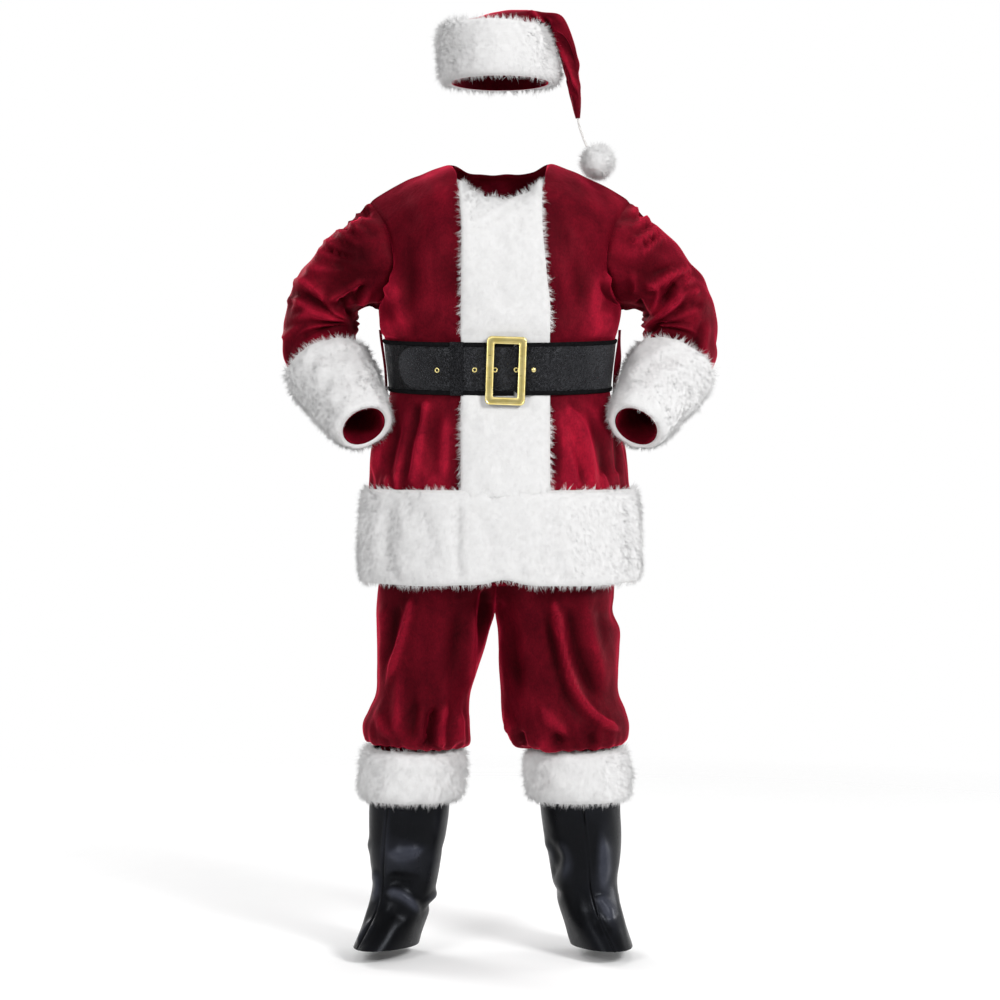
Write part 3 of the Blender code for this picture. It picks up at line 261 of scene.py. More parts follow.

BELT_STEPS = 8                  # columns of the strap for each of the CAD's
TIP_LONG = 0.034                # the length of the tongue's round end
TIP_STANDS = 0.0022             # how much further it stands off the strap under it
RIM_DROP, RIM_WIDE = 0.0020, 0.0030     # how the strap's face falls to its edge
LOOP_FLARE = 0.011              # the left belt loop's rear edge off its front one
# where painted sheen lightens the strap's vinyl, painted shade darkening it where below 0: a place across,
# how much; first on the tongue, then on the rest
TONGUE_PAINTED_SHEEN = ((-0.183, 0.80), (-0.150, 0.25), (-0.110, -0.10), (-0.084, -0.30), (-0.058, 0.35),
                 (-0.035, 0.10), (-0.010, -0.25), (0.004, 0.45), (0.020, 0.00))
STRAP_PAINTED_SHEEN = ((-0.218, 0.05), (-0.208, 0.40), (-0.196, -0.25), (-0.186, -0.70), (0.030, -0.10),
                (0.080, 0.18), (0.150, 0.35), (0.186, 0.75), (0.204, 0.85), (0.217, 0.30))
# the edging's section: distance from the strap's edge, height
EDGING = ((-0.0006, -0.0012), (0.0004, 0.0010), (0.0020, 0.0016), (0.0040, 0.0017), (0.0058, 0.0015),
          (0.0071, 0.0010), (BELT_TRIM, 0.0000))
EYELET_RING, EYELET_ROLL = 0.0036, (0.0012, 0.0009)     # radius of the roll's middle, and its section's
STUD_DOME = (0.0047, 0.0024)    # radius and height
# a buckle bar's section: share of the way in from its outer edge, height
BUCKLE_SECTION = (
    (0.00, 0.0000), (0.00, 0.0030), (0.05, 0.0042), (0.13, 0.0047), (0.20, 0.0043), (0.26, 0.0032),
    (0.50, 0.0029), (0.74, 0.0032), (0.80, 0.0041), (0.87, 0.0045), (0.95, 0.0041), (1.00, 0.0030),
    (1.00, 0.0000))

# how each cloth is uneven, coarsely and finely: reach and size of the lumps, one number or an x, y, z
JACKET_UNEVEN = ((0.0016, (0.055, 0.08, 0.09)), (0.0010, (0.026, 0.04, 0.035)))
SLEEVE_UNEVEN = ((0.0022, 0.060), (0.0016, 0.024))
LEG_UNEVEN = ((0.0015, (0.055, 0.05, 0.10)), (0.0011, (0.03, 0.03, 0.05)))
BOOT_UNEVEN = ((0.0009, 0.06), (0.0003, 0.03))
HAT_UNEVEN = ((0.0014, (0.035, 0.04, 0.05)), (0.0008, 0.02))
JACKET_SEED, HAT_SEED = 11, 90
SLEEVE_SEED = {"right": 20, "left": 30}
LEG_SEED = {"right": 40, "left": 46}
BOOT_SEED = {"right": 80, "left": 84}
# gathers along an edge: how many, how far they stand out
HEM_GATHERS, SHOULDER_GATHERS, ANKLE_GATHERS = (26, 0.0032), (22, 0.0034), (13, 0.0050)

FUR_GROUND = 0.76               # the share of a fur trim's reach that its body fills
FUR_LUMPS = ((0.0016, 0.016, 0), (0.0013, 0.034, 50))   # on it: reach, size, added to the trim's seed
CLEAR_OF_BELT, CLEAR_OF_BUCKLE, CLEAR_FADE = 0.002, 0.020, 0.022    # where the placket's hairs start
HAIRS_HANG = 0.013              # how far below its root one of those lies
HAIRS_PER_CLUMP = 8
HAIR_SHORTEST = 0.003           # shorter ones are left out
CLUMP_SPREAD, HAIR_SUNK = 0.00288, 0.0012       # of the hairs' roots, round their clump's and under it
HAIR_WIDTH = 0.00085
HAIR_SOFT = 0.93                # how far a hair's shading follows the fur's under it

# ---- folds ----
# Each is half its width and how far it stands out (in, where negative) in millimetres, the shares of
# its line over which it fades in and out, and then the line, two numbers a place. Those of the front
# are lines across and up as seen from the front, in steps of this size; the others in millimetres.
STEP = 0.00192
# patches of painted light on the velvet and the boots, painted shade where the amount is below 0: across and
# up in the same steps, how far it reaches across and up in millimetres, how much
PAINTED_PATCHES = (
    (-63, 510, 45, 95, .45), (85, 505, 85, 100, .95), (96, 640, 60, 110, .22), (-144, 699, 60, 70, -.95),
    (-200, 655, 30, 60, -.2), (62, 907, 40, 80, .35), (107, 89, 16, 80, .65), (111, 41, 14, 28, .5),
    (-96, 103, 45, 30, .4), (-114, 115, 10, 50, .3), (-127, 65, 8, 30, .5), (52, 95, 10, 34, .6),
    (-102, 23, 32, 24, -1), (72, 120, 24, 50, -.4), (-130, 715, 50, 50, -.4), (190, 655, 40, 50, -.22),
    (45, 285, 70, 100, .14), (120, 745, 40, 40, .18), (-88, 123, 20, 16, -.3),
)
# the front: the skirt, then the chest
JACKET_FOLDS = (
    (9.5, 6.6, .1, .15, -72, 559, -79, 519, -89, 467), (10.8, -3.5, .1, .2, -80, 557, -88, 515, -97, 467),
    (10.1, 4.2, .2, .2, -88, 553, -96, 515, -103, 469), (16.2, -2.8, .3, .3, -62, 555, -66, 515, -71, 469),
    (13.5, 4.9, .3, .3, -53, 551, -54, 515, -56, 471), (13.5, -5.9, .4, .3, -100, 547, -106, 515, -111, 477),
    (16.2, 12.3, .4, .3, -116, 543, -122, 510, -126, 471), (8.1, 7, .3, .1, -102, 485, -102, 463),
    (8.1, 6.1, .3, .1, -112, 481, -109, 463), (14.9, 10.9, .3, .3, 52, 555, 65, 532, 71, 499, 75, 463),
    (16.2, 14, .3, .3, 63, 555, 78, 529, 88, 491, 96, 461),
    (13.5, -8, .3, .3, 56, 553, 72, 515, 82, 485, 88, 461), (16.2, -6.3, .4, .3, 48, 545, 54, 510, 56, 467),
    (16.2, -9.6, .4, .3, 85, 551, 98, 519, 110, 467), (8.1, 6.1, .3, .1, 103, 485, 106, 461),
    (8.1, 6.1, .3, .1, 118, 487, 119, 463), (16.2, 5.3, .5, .5, -98, 665, -96, 643, -93, 605),
    (21.6, -6.1, .5, .5, -86, 725, -90, 685, -91, 625), (18.9, 6.1, .5, .5, -110, 705, -104, 665, -100, 625),
    (21.6, -5.3, .5, .5, 77, 725, 80, 675, 78, 615), (18.9, 6.1, .5, .5, 100, 705, 96, 659, 90, 611),
    (18.9, 7, .4, .6, 112, 655, 100, 625, 85, 603), (18.9, 7, .4, .6, -118, 645, -108, 621, -98, 603),
    (12.1, 9.6, .3, .3, 102, 685, 116, 667, 132, 655), (12.1, -7, .3, .3, 96, 675, 110, 659, 126, 649),
    (12.1, 7, .3, .4, -116, 669, -108, 663, -96, 653), (9.5, 6.1, .5, .2, -104, 623, -100, 603),
    (10.8, 5.3, .5, .2, -80, 625, -81, 603), (10.8, 5.3, .5, .2, 66, 621, 66, 603),
    (9.5, 6.1, .5, .2, 90, 621, 88, 603),
)
# the back, by x and height
BACK_FOLDS = (
    (16.9, 12, .3, .3, -140, 1040, -150, 920, -165, 800),
    (15.6, -10.4, .3, .4, -90, 1030, -95, 930, -100, 840),
    (15.6, 10.4, .3, .4, -45, 1040, -50, 950, -60, 800), (16.9, -9.6, .3, .4, 30, 1040, 35, 930, 30, 820),
    (15.6, 12, .3, .3, 75, 1040, 85, 920, 100, 790), (15.6, -8.8, .3, .4, 150, 1030, 160, 930, 175, 830),
    (19.5, 8.8, .3, .5, -100, 1170, -110, 1240, -150, 1330),
    (19.5, 8.8, .3, .5, 100, 1170, 115, 1250, 155, 1330),
    (16.9, -6.4, .3, .5, -30, 1170, -35, 1230, -50, 1310), (16.9, 6.4, .3, .5, 40, 1170, 45, 1240, 50, 1300),
    (15.6, -7.2, .3, .5, -160, 1180, -170, 1240, -190, 1300),
    (15.6, -7.2, .3, .5, 165, 1180, 175, 1250, 190, 1310),
    (26, -5.6, .4, .4, -120, 1430, -40, 1405, 50, 1407, 130, 1430),
)
# at the side seams, by distance round and height
RING_FOLDS = (
    (14.3, 6.6, .3, .3, 20, 1050, 30, 950, 20, 830), (12.1, -5, .3, .3, -60, 1050, -70, 940, -85, 840),
    (14.3, 6.6, .3, .3, 669.7, 1050, 679.7, 950, 669.7, 830),
    (12.1, -5.5, .3, .3, 599.7, 1050, 589.7, 940, 579.7, 840),
)
# creases that fan out each way from a line down the sleeve: where they start down it, the middle
# and end of the one to the front, its half width and reach, and those of its mirror image
FAN_X, FAN_ROOM = 20, 12        # that line, and how far off it they start
FAN_FADES = (0.25, 0.6)
SLEEVE_FANS = {
    "right": (
        (171, 77, 154, 135, 107, 10, 4.9, 10.3, -4.5), (177, 71, 165, 123, 136, 7.6, -4.9, 8.7, 4.6),
        (182, 104, 174, 188, 156, 9.7, 6.2, 9.7, -4.6), (188, 74, 192, 129, 204, 10.5, -5, 9.9, 5.9),
        (193, 92, 213, 165, 254, 7.8, 6, 10.2, -3.8), (199, 70, 212, 120, 254, 11.6, -4.1, 10.9, 6.4),
    ),
    "left": (
        (176, 77, 159, 134, 112, 12, 4.2, 10.8, -3.3), (182, 78, 168, 135, 135, 12.1, -3.6, 10.5, 5.2),
        (187, 85, 181, 150, 168, 9.8, 4.4, 11.3, -3.3), (193, 77, 198, 134, 210, 7.6, -3.7, 9.4, 6.4),
        (198, 82, 214, 145, 249, 8, 4.6, 12.1, -3.2), (204, 91, 229, 161, 287, 9.2, -4.6, 9, 5.9),
    ),
}
# by distance round a sleeve and down it
SLEEVE_FOLDS = {
    "right": (
        (13.2, 3.6, .5, .5, 100, 30, 160, 50, 220, 45), (15.4, -4.5, .5, .5, 300, 100, 330, 150, 310, 210),
        (14.3, 4.5, .5, .5, 240, 160, 270, 210, 250, 260),
    ),
    "left": (
        (13.2, 3.6, .5, .5, 100, 35, 160, 50, 220, 50), (15.4, -4.5, .5, .5, 280, 100, 320, 160, 300, 220),
        (14.3, 4.5, .5, .5, 220, 170, 260, 200, 270, 260),
    ),
}
# as seen from the front
SLEEVE_FRONT_FOLDS = {
    "right": (
        (7.8, 7.5, .2, .15, -174, 651, -160, 661, -148, 668, -135, 676),
        (7.2, -5.7, .3, .3, -166, 647, -154, 655, -144, 665),
        (7.2, -10.3, .2, .3, -147, 651, -142, 661, -134, 672),
        (7.2, -6.9, .3, .3, -162, 657, -154, 647, -147, 637),
        (7.8, 6.3, .3, .4, -140, 647, -134, 659, -128, 669),
        (9, 6.3, .2, .2, -217, 669, -200, 674, -184, 665, -172, 652),
        (9.6, -5.7, .3, .3, -214, 659, -196, 661, -178, 649, -162, 637),
        (12, 7.5, .3, .2, -210, 633, -190, 641, -166, 639, -148, 631),
        (8.4, 4.6, .3, .4, -212, 645, -196, 651, -178, 643),
        (9.6, -5.7, .3, .3, -202, 613, -184, 624, -164, 627),
        (7.2, 5.7, .05, .6, -138, 758, -128, 747, -120, 741),
        (6, -5.2, .05, .6, -143, 751, -134, 742, -124, 734),
        (7.2, 5.7, .05, .6, -148, 745, -136, 733, -128, 723),
        (7.2, 5.7, .05, .6, -155, 736, -143, 726, -130, 715),
        (7.2, 5.7, .05, .6, -164, 725, -150, 715, -134, 705),
        (6, -5.2, .05, .6, -159, 730, -146, 721, -134, 711),
        (7.8, 5.7, .05, .6, -173, 713, -158, 705, -140, 699),
        (8.4, 5.2, .05, .6, -182, 701, -164, 697, -144, 691),
        (7.2, -4.6, .2, .6, -175, 705, -155, 700, -135, 693),
        (9.6, 4.6, .1, .5, -194, 687, -172, 685, -150, 683),
        (7.2, 4.6, .05, .5, -218, 655, -204, 655, -188, 652),
        (8.4, 4.6, .1, .5, -216, 615, -208, 623, -194, 633),
    ),
    "left": (
        (7.2, 5.7, .05, .6, 140, 749, 132, 742, 124, 739), (6, -5.2, .05, .6, 144, 743, 136, 735, 128, 729),
        (7.2, 6.9, .05, .5, 148, 737, 138, 729, 129, 722), (7.2, 7.5, .05, .3, 156, 726, 143, 715, 130, 711),
        (6, -5.7, .05, .5, 152, 731, 141, 722, 132, 716), (7.8, 6.3, .05, .5, 162, 718, 148, 707, 138, 693),
        (6, -5.2, .1, .5, 159, 722, 147, 712, 137, 703),
        (9, 9.8, .1, .2, 192, 687, 174, 681, 156, 671, 142, 664),
        (9.6, -4.6, .3, .4, 180, 691, 164, 685, 148, 679), (8.4, -12.1, .2, .2, 176, 674, 168, 663, 163, 651),
        (6.6, -6.3, .2, .3, 186, 672, 176, 661, 170, 651),
        (7.8, 8.6, .1, .15, 196, 679, 182, 669, 172, 653, 156, 637, 141, 621),
        (6.6, 6.3, .2, .2, 141, 667, 150, 671, 157, 665, 155, 651, 152, 637),
        (7.8, -10.3, .2, .2, 138, 657, 142, 647, 146, 635), (7.2, 5.7, .3, .3, 134, 687, 134, 671, 136, 657),
        (7.8, -6.3, .1, .4, 144, 619, 156, 629, 170, 637),
        (7.8, 5.2, .1, .3, 200, 663, 188, 663, 174, 653, 160, 639),
        (7.8, -4.6, .1, .4, 202, 649, 188, 651, 172, 641), (8.4, 4.6, .3, .2, 207, 637, 205, 613, 198, 589),
        (7.8, -4, .3, .2, 201, 637, 198, 615, 190, 593),
    ),
}
# the hem fur
HEM_FOLDS = (
    (21, 6, .3, .05, -123, 455, -122, 395), (16.5, -6, .3, .05, -108, 455, -107, 383),
    (19.5, 6, .3, .05, -93, 457, -92, 381), (18, -4.5, .3, .05, -70, 455, -69, 379),
    (12, -7, .2, .05, -42, 457, -41, 377), (18, -4, .3, .05, -10, 435, -8, 375),
    (21, 4.5, .3, .05, 30, 450, 31, 379), (15, -5.5, .3, .05, 48, 455, 49, 377),
    (18, 6, .3, .05, 64, 457, 66, 379), (18, -5.5, .3, .05, 88, 455, 90, 383),
    (18, 5.5, .3, .05, 111, 457, 113, 389),
)
# and behind
HEM_BACK_FOLDS = (
    (19.5, 6, .25, .05, 100, 880, 106, 730), (16.5, -5, .25, .05, 155, 880, 161, 730),
    (21, 6, .25, .05, 210, 880, 216, 730), (18, -5.5, .25, .05, 275, 880, 281, 730),
    (19.5, 5, .25, .05, 335, 880, 341, 730), (16.5, -6, .25, .05, 390, 880, 396, 730),
    (21, 6, .25, .05, 450, 880, 456, 730), (18, -5, .25, .05, 515, 880, 521, 730),
    (19.5, 6, .25, .05, 570, 880, 576, 730),
)
# the trousers
LEG_FRONT_FOLDS = {
    "right": (
        (9.2, 10.1, .12, .3, -87, 361, -94, 330, -103, 300, -115, 263),
        (11.5, -7.2, .2, .4, -102, 355, -108, 319, -117, 283),
        (11.5, 5.9, .2, .4, -117, 355, -116, 315, -120, 271),
        (9.2, 6.5, .2, .3, -25, 355, -28, 305, -33, 253), (18.4, -5.2, .3, .4, -40, 355, -45, 305, -52, 255),
        (10.3, -14.3, .3, .05, -63, 251, -69, 231, -73, 207),
        (9.2, 7.8, .3, .1, -53, 255, -59, 231, -60, 207), (13.8, 5.9, .4, .3, -98, 295, -102, 255, -104, 215),
        (11.5, -5.9, .4, .2, -86, 265, -86, 237, -88, 211),
        (10.3, 5.9, .4, .3, -124, 251, -120, 233, -108, 213),
        (10.3, 5.9, .4, .2, -42, 247, -40, 229, -42, 209),
        (12.6, -10.4, .2, .5, -14, 371, -16, 343, -22, 305),
    ),
    "left": (
        (9, 13, .08, .1, 53, 359, 60, 325, 67, 291, 78, 261, 97, 237, 122, 223),
        (9.8, -6.2, .2, .3, 44, 353, 50, 319, 57, 285, 69, 253, 90, 229),
        (10.9, -7.8, .2, .3, 68, 355, 75, 315, 87, 277, 104, 247),
        (14.9, 4.9, .25, .35, 82, 359, 90, 330, 99, 295, 107, 255),
        (13.8, -1.8, .3, .4, 98, 357, 101, 325, 106, 291),
        (10.3, 8.4, .2, .1, -7, 335, -6, 291, -1, 249, 14, 217),
        (17.2, -5.2, .3, .4, 12, 345, 14, 295, 20, 247), (13.8, 6.5, .4, .3, 40, 255, 52, 233, 74, 217),
        (10.3, -5.9, .3, .1, 20, 225, 24, 209), (11.5, -5.9, .4, .1, 56, 225, 60, 209),
        (10.3, -5.2, .3, .1, 90, 223, 96, 209),
    ),
}
# and behind, by height and x, which is mirrored for the right leg
LEG_BACK_FOLDS = (
    (16.9, 9, .3, .4, 70, 700, 75, 600, 65, 520),
    (16.9, -8.4, .3, .3, 115, 690, 120, 600, 130, 500, 155, 430),
    (16.9, 9, .3, .4, 160, 690, 165, 600, 155, 500), (14.3, -6.6, .3, .4, 200, 660, 205, 560, 200, 470),
    (14.3, 7.2, .4, .2, 90, 520, 100, 470, 95, 420), (14.3, -6, .4, .3, 50, 600, 60, 520, 55, 450),
    (11.7, 6, .4, .2, 130, 470, 135, 440, 130, 415), (11.7, 6, .4, .2, 180, 470, 190, 440, 185, 415),
)
# the boot tops
BOOT_FRONT_FOLDS = {
    "right": (
        (12, 7.5, .2, .35, -117, 62, -102, 59, -88, 49, -79, 33),
        (13, -2.6, .3, .4, -116, 42, -103, 39, -92, 28), (15, -5.9, .3, .5, -116, 78, -96, 74, -78, 77),
        (14, 5.9, .3, .4, -116, 100, -96, 100, -70, 107), (11, 4.6, .3, .3, -129, 87, -122, 65, -129, 49),
        (11, 4.6, .3, .3, -125, 35, -136, 21, -146, 7),
    ),
    "left": (
        (12, -5.9, .3, .3, 47, 117, 57, 95, 49, 71), (13, 3.9, .3, .4, 58, 119, 69, 95, 62, 69),
        (13, 5.2, .4, .4, 100, 129, 104, 91, 102, 59), (12, 6.2, .25, .35, 94, 57, 105, 48, 115, 32),
        (12, -3.9, .3, .3, 94, 37, 103, 29, 111, 15),
    ),
}
# and round them
BOOT_FOLDS = (
    (11, 5, .4, .4, 100, 105, 170, 112, 250, 104), (10, -4.5, .4, .4, 120, 86, 180, 92, 240, 85),
    (13, -3.5, .4, .4, 300, 130, 360, 118, 410, 125), (18, -4.5, .4, .4, 140, 200, 200, 212, 270, 200),
    (16, 3.5, .4, .4, 340, 220, 390, 205, 440, 220),
)
# the crown
HAT_FRONT_FOLDS = (
    (4, 7.7, .05, .2, 27, 942, 38, 936, 49, 924, 58, 912, 65, 899, 71, 883, 76, 867, 79, 853),
    (5, -5.6, .2, .3, 34, 933, 46, 921, 53, 908, 60, 894, 67, 877),
    (4.5, -5.6, .2, .3, 56, 924, 64, 914, 70, 901, 75, 887), (3.5, 4, .3, .3, 64, 877, 69, 867, 73, 856),
    (12, 5, .4, .5, -30, 909, -14, 921, 8, 928), (12, -5, .4, .5, -48, 895, -38, 911, -24, 925),
    (11, -5.6, .4, .4, 0, 905, 20, 911, 40, 905), (10, 4.4, .4, .5, -12, 899, 12, 897, 38, 893),
)
# and round it
HAT_FOLDS = (
    (12, 5.6, .4, .5, 50, 100, 90, 140, 130, 170), (12, -5.6, .4, .5, 160, 90, 170, 130, 150, 170),
    (12, 5.6, .4, .5, 220, 100, 230, 140, 200, 180), (12, -5, .4, .5, 280, 90, 270, 140, 300, 170),
    (8, 5, .4, .4, 100, 200, 140, 250, 150, 310),
)


# ---- the CAD's forms ----
def unit(v):
    return v / np.maximum(np.linalg.norm(v, axis=-1, keepdims=True), 1e-12)


def lengths(grid, axis=0):
    """The distances between neighbouring points along an axis."""
    return np.linalg.norm(np.diff(grid, axis=axis), axis=-1)


def run_along(line):
    """How far along a line each of its points is."""
    return np.append(0, np.cumsum(lengths(line)))


def cubic(values, tangent, knots, at):
    """Values at knots, along their first axis, read at `at` by the cubic with those tangents."""
    wide = (-1,) + (1,) * (values.ndim - 1)
    k = np.clip(np.searchsorted(knots, at, side="right") - 1, 0, len(knots) - 2)
    step = np.diff(knots)[k]
    h, t = step.reshape(wide), ((at - knots[k]) / step).reshape(wide)
    return (values[k] * (1 + 2 * t) * (1 - t) ** 2 + tangent[k] * h * t * (1 - t) ** 2
            + values[k + 1] * t * t * (3 - 2 * t) + tangent[k + 1] * h * t * t * (t - 1))


def smooth(knots, rows, at):
    """Rows of numbers over rising knots, read at `at` by a cubic that never overshoots."""
    slope = np.diff(rows, axis=0) / np.diff(knots)[:, None]
    before, after = slope[:-1], slope[1:]
    same = before * after > 0
    inner = np.where(same, 2 * before * after / np.where(same, before + after, 1.0), 0.0)
    return cubic(rows, np.concatenate([slope[:1], inner, slope[-1:]]), knots, at)


def along(points, count):
    """`count` points evenly spaced along a smooth line through a few."""
    points = np.asarray(points, float)
    run = run_along(points)
    fine = smooth(run, points, np.linspace(0, run[-1], 200))
    run = run_along(fine)
    at = np.linspace(0, run[-1], count)
    return np.stack([np.interp(at, run, fine[:, k]) for k in range(3)], axis=1)


def power_curve(angle, power):
    """The unit superellipse's x and y at an angle."""
    c, s = np.cos(angle), np.sin(angle)
    return np.sign(c) * np.abs(c) ** (2 / power), np.sign(s) * np.abs(s) ** (2 / power)


def folded_row(x, y, half, depth, height, tilt, folds):
    """A ring's points from its plan, with the skirt's folds square to it and its tilt to the back."""
    where, move = np.linspace(-1, 1, len(x)), 0.0
    for middle, top, bottom, drift, width, reach in folds:
        down = np.clip((top - height) / (top - bottom), 0, 1)
        off = (where - middle - drift * down) / width
        move = move + reach * np.exp(-off * off) * down ** 0.7
    move = move * (1 - np.abs(where) ** 6)
    out = unit(np.stack([x / half ** 2, y / depth ** 2], axis=1)) * move[:, None]
    return np.stack([x + out[:, 0], y + out[:, 1], height + tilt * y], axis=1)


def front_row(half, depth, height, tilt):
    """One ring's front half, right seam to left seam, with even columns over the placket."""
    placket = PLACKET_X + PLACKET_HALF * np.linspace(-1, 1, 2 * PLACKET_COLS + 1)
    to_seam = []
    for edge in (placket[0], placket[-1]):
        start = math.acos((abs(edge) / half) ** (BODY_POWER / 2))
        angles = np.linspace(start, 0, SIDE_COLS + 1)[1:]
        to_seam.append(half * power_curve(angles, BODY_POWER)[0])
    x = np.concatenate([-to_seam[0][::-1], placket, to_seam[1]])
    y = -depth * np.maximum(1 - np.abs(x / half) ** BODY_POWER, 0) ** (1 / BODY_POWER)
    return folded_row(x, y, half, depth, height, tilt, SKIRT_FOLDS_FRONT)


def back_row(half, depth, height, tilt):
    """One ring's back half, left seam to right seam."""
    x, y = power_curve(np.linspace(0, math.pi, 2 * BACK_COLS + 1), BODY_POWER)
    return folded_row(half * x, depth * y, half, depth, height, tilt, SKIRT_FOLDS_BACK)


def dome_between(low, high, t):
    """From low to high along a quarter ellipse: mostly up first, then mostly in."""
    rise, sink = math.sin(math.pi / 2 * t), 1 - math.cos(math.pi / 2 * t)
    return low + (high - low) * np.array([rise, sink, rise])


def upper_grid(base, neck, armhole, neck_cols):
    """Rows from the armpit ring to the neck and shoulders. base runs from right to left.

    neck gives the first neck_cols columns from the middle, and the shoulder seam the rest. Both, and
    the armhole, are for the left side and mirrored.
    """
    middle = (len(base) - 1) // 2
    hole = along(armhole, UPPER_ROWS + 1)
    neck = np.asarray(neck, float)
    share = np.linspace(0, 1, middle - neck_cols + 1)[:, None]
    seam = neck[-1] + (hole[-1] - neck[-1]) * share
    seam[:, 2:] += SHOULDER_BOW * 4 * share * (1 - share)
    top = np.concatenate([along(neck, neck_cols + 1)[:-1], seam])
    rows = []
    for r in range(1, UPPER_ROWS + 1):
        t, row = r / UPPER_ROWS, []
        for k, low in enumerate(base):
            mirror = (1 if k >= middle else -1, 1, 1)
            edge = hole * mirror
            pull = edge[r] - dome_between(edge[0], edge[-1], t)
            near = (abs(k - middle) / middle) ** ARMHOLE_SPREAD
            row.append(dome_between(low, top[abs(k - middle)] * mirror, t) + pull * near)
        rows.append(row)
    return np.array(rows)


def jacket_grids():
    """The front from right seam to left and the back from left to right, hem up to neck and shoulders."""
    front = np.array([front_row(half, deep, height, tilt) for height, half, deep, _, tilt in JACKET])
    back = np.array([back_row(half, deep, height, tilt) for height, half, _, deep, tilt in JACKET])
    front_up = upper_grid(front[-1], NECK_FRONT, ARMHOLE_FRONT, NECK_COLS_FRONT)
    back_up = upper_grid(back[-1][::-1], NECK_BACK, ARMHOLE_BACK, NECK_COLS_BACK)[:, ::-1]
    return np.concatenate([front, front_up]), np.concatenate([back, back_up])


def armhole_loop(front, back, side, fine=1):
    """The armhole's points from the armpit up the front and down the back."""
    first = (len(JACKET) - 1) * fine
    ends = (-1, 0) if side == "left" else (0, -1)
    return np.concatenate([front[first:, ends[0]], back[first:, ends[1]][::-1][1:-1]])


def sleeve_grid(loop, sign):
    """Rings down the sleeve; the first is the armhole itself. Columns start at the armpit."""
    up = np.array([0, 0, 1.0])
    rings = [loop]
    c, s = power_curve(np.linspace(0, WHOLE_TURN, SLEEVE_COLS, endpoint=False)[:, None], LIMB_POWER)
    for x, y, height, dx, dy, dz, across, tall in SLEEVE:
        d = unit(np.array([sign * dx, dy, dz]))
        up = unit(up - d * np.dot(up, d))
        front = np.cross(d, up) * sign
        rings.append(np.array([sign * x, y, height]) - up * tall * c + front * across * s)
    return np.array(rings)


def ring_grid(front, back):
    """Front and back columns as one ring without the shared seam columns twice."""
    return np.concatenate([front[:, :-1], back[:, :-1]], axis=1)


def column_of_x(ring, x, fine=1):
    """The fractional front column, in the CAD's columns, at a place across the front."""
    xs = ring[:, :2 * FRONT_MIDDLE * fine + 1, 0].mean(axis=0)
    return float(np.interp(x, xs, np.arange(len(xs)))) / fine


def belt_path(ring):
    """The strap from its tongue's tip, once round and on under the tongue.

    Gives its columns and how far its inner face is off the jacket at each.
    """
    total = ring.shape[1] - 1
    right, left = FRONT_MIDDLE - PLACKET_COLS, FRONT_MIDDLE + PLACKET_COLS
    near, far = BESIDE_PLACKET
    marks = [column_of_x(ring, x) for x in (*TONGUE_X, *TONGUE_FLARE_X)]
    end = total + column_of_x(ring, STRAP_END_X)
    columns = np.unique([*marks, *range(math.ceil(marks[2]), math.ceil(end)), end])
    offsets = np.interp(columns % total, (right - 3, right - 2, right - 1, right, left, left + 1),
                        (LIFT, far, near, ON_PLACKET, ON_PLACKET, LIFT))
    return columns, offsets + np.where(columns <= left, BELT_THICK + LIFT, 0)


def leg_row(outer_x, middle, depth, middle_y, way, inner_x=None):
    """Half a leg section from its inner edge to its outer edge, way -1 over the front, 1 over the back."""
    half = outer_x - middle
    inner_x = middle - half if inner_x is None else inner_x
    start = math.acos(-min(abs((inner_x - middle) / half), 1) ** (LIMB_POWER / 2))
    c, s = power_curve(np.linspace(start, 0, LEG_COLS + 1), LIMB_POWER)
    return zip(middle + half * c, middle_y + way * depth * s)


def leg_grid(table, sign, way):
    rows = []
    for height, inner_x, outer_x, front, back, middle_y in reversed(table):
        row = leg_row(outer_x, (inner_x + outer_x) / 2, front if way < 0 else back, middle_y, way)
        rows.append([(sign * x + LEG_SHIFT, y, height) for x, y in row])
    for height, outer_x, middle, front, back, shift, rise in HIPS:
        row = leg_row(outer_x, middle, front if way < 0 else back, 0.0, way, inner_x=0.0)
        rows.append([(sign * x + shift, y, height + rise * y) for x, y in row])
    return np.array(rows)


def boot_grid(side):
    """Rings up a boot top, from its front seam round by the left to the front seam again."""
    start = -math.pi / 2 + BOOT_SEAM[side] * math.pi / BOOT_COLS
    c, s = power_curve(np.linspace(start, start + WHOLE_TURN, 2 * BOOT_COLS + 1), LIMB_POWER)
    top, bottom = BOOT[0][0], BOOT[-1][0]
    rows = []
    for height, half, front, back, out, middle_y, rise in reversed(BOOT):
        x, y = half * c, np.where(s < 0, front, back) * s
        a = TOE_OUT[side] * ((top - height) / (top - bottom)) ** 1.2
        turned_x = x * math.cos(a) - y * math.sin(a) + BOOT_X[side] + SIDES[side] * out
        turned_y = x * math.sin(a) + y * math.cos(a) + middle_y
        rows.append(np.stack([turned_x, turned_y, height - rise * np.minimum(y, 0)], axis=1))
    return np.array(rows)


def crown_grid():
    """Rings up the crown, over and down the tail to its tip, from the left side round by the back."""
    angles = np.linspace(0, WHOLE_TURN, 2 * HAT_COLS + 1)[:, None]
    rows = []
    for x, y, height, dx, dz, across, deep, turn in CROWN:
        d = unit(np.array([dx, 0, dz]))
        a = math.radians(turn)
        side = np.array([d[2] * math.cos(a), math.sin(a), -d[0] * math.cos(a)])
        back = np.cross(d, side)
        centre = np.array([x, y, height])
        rows.append(centre + side * across * np.cos(angles) + back * deep * np.sin(angles))
    return np.array(rows)


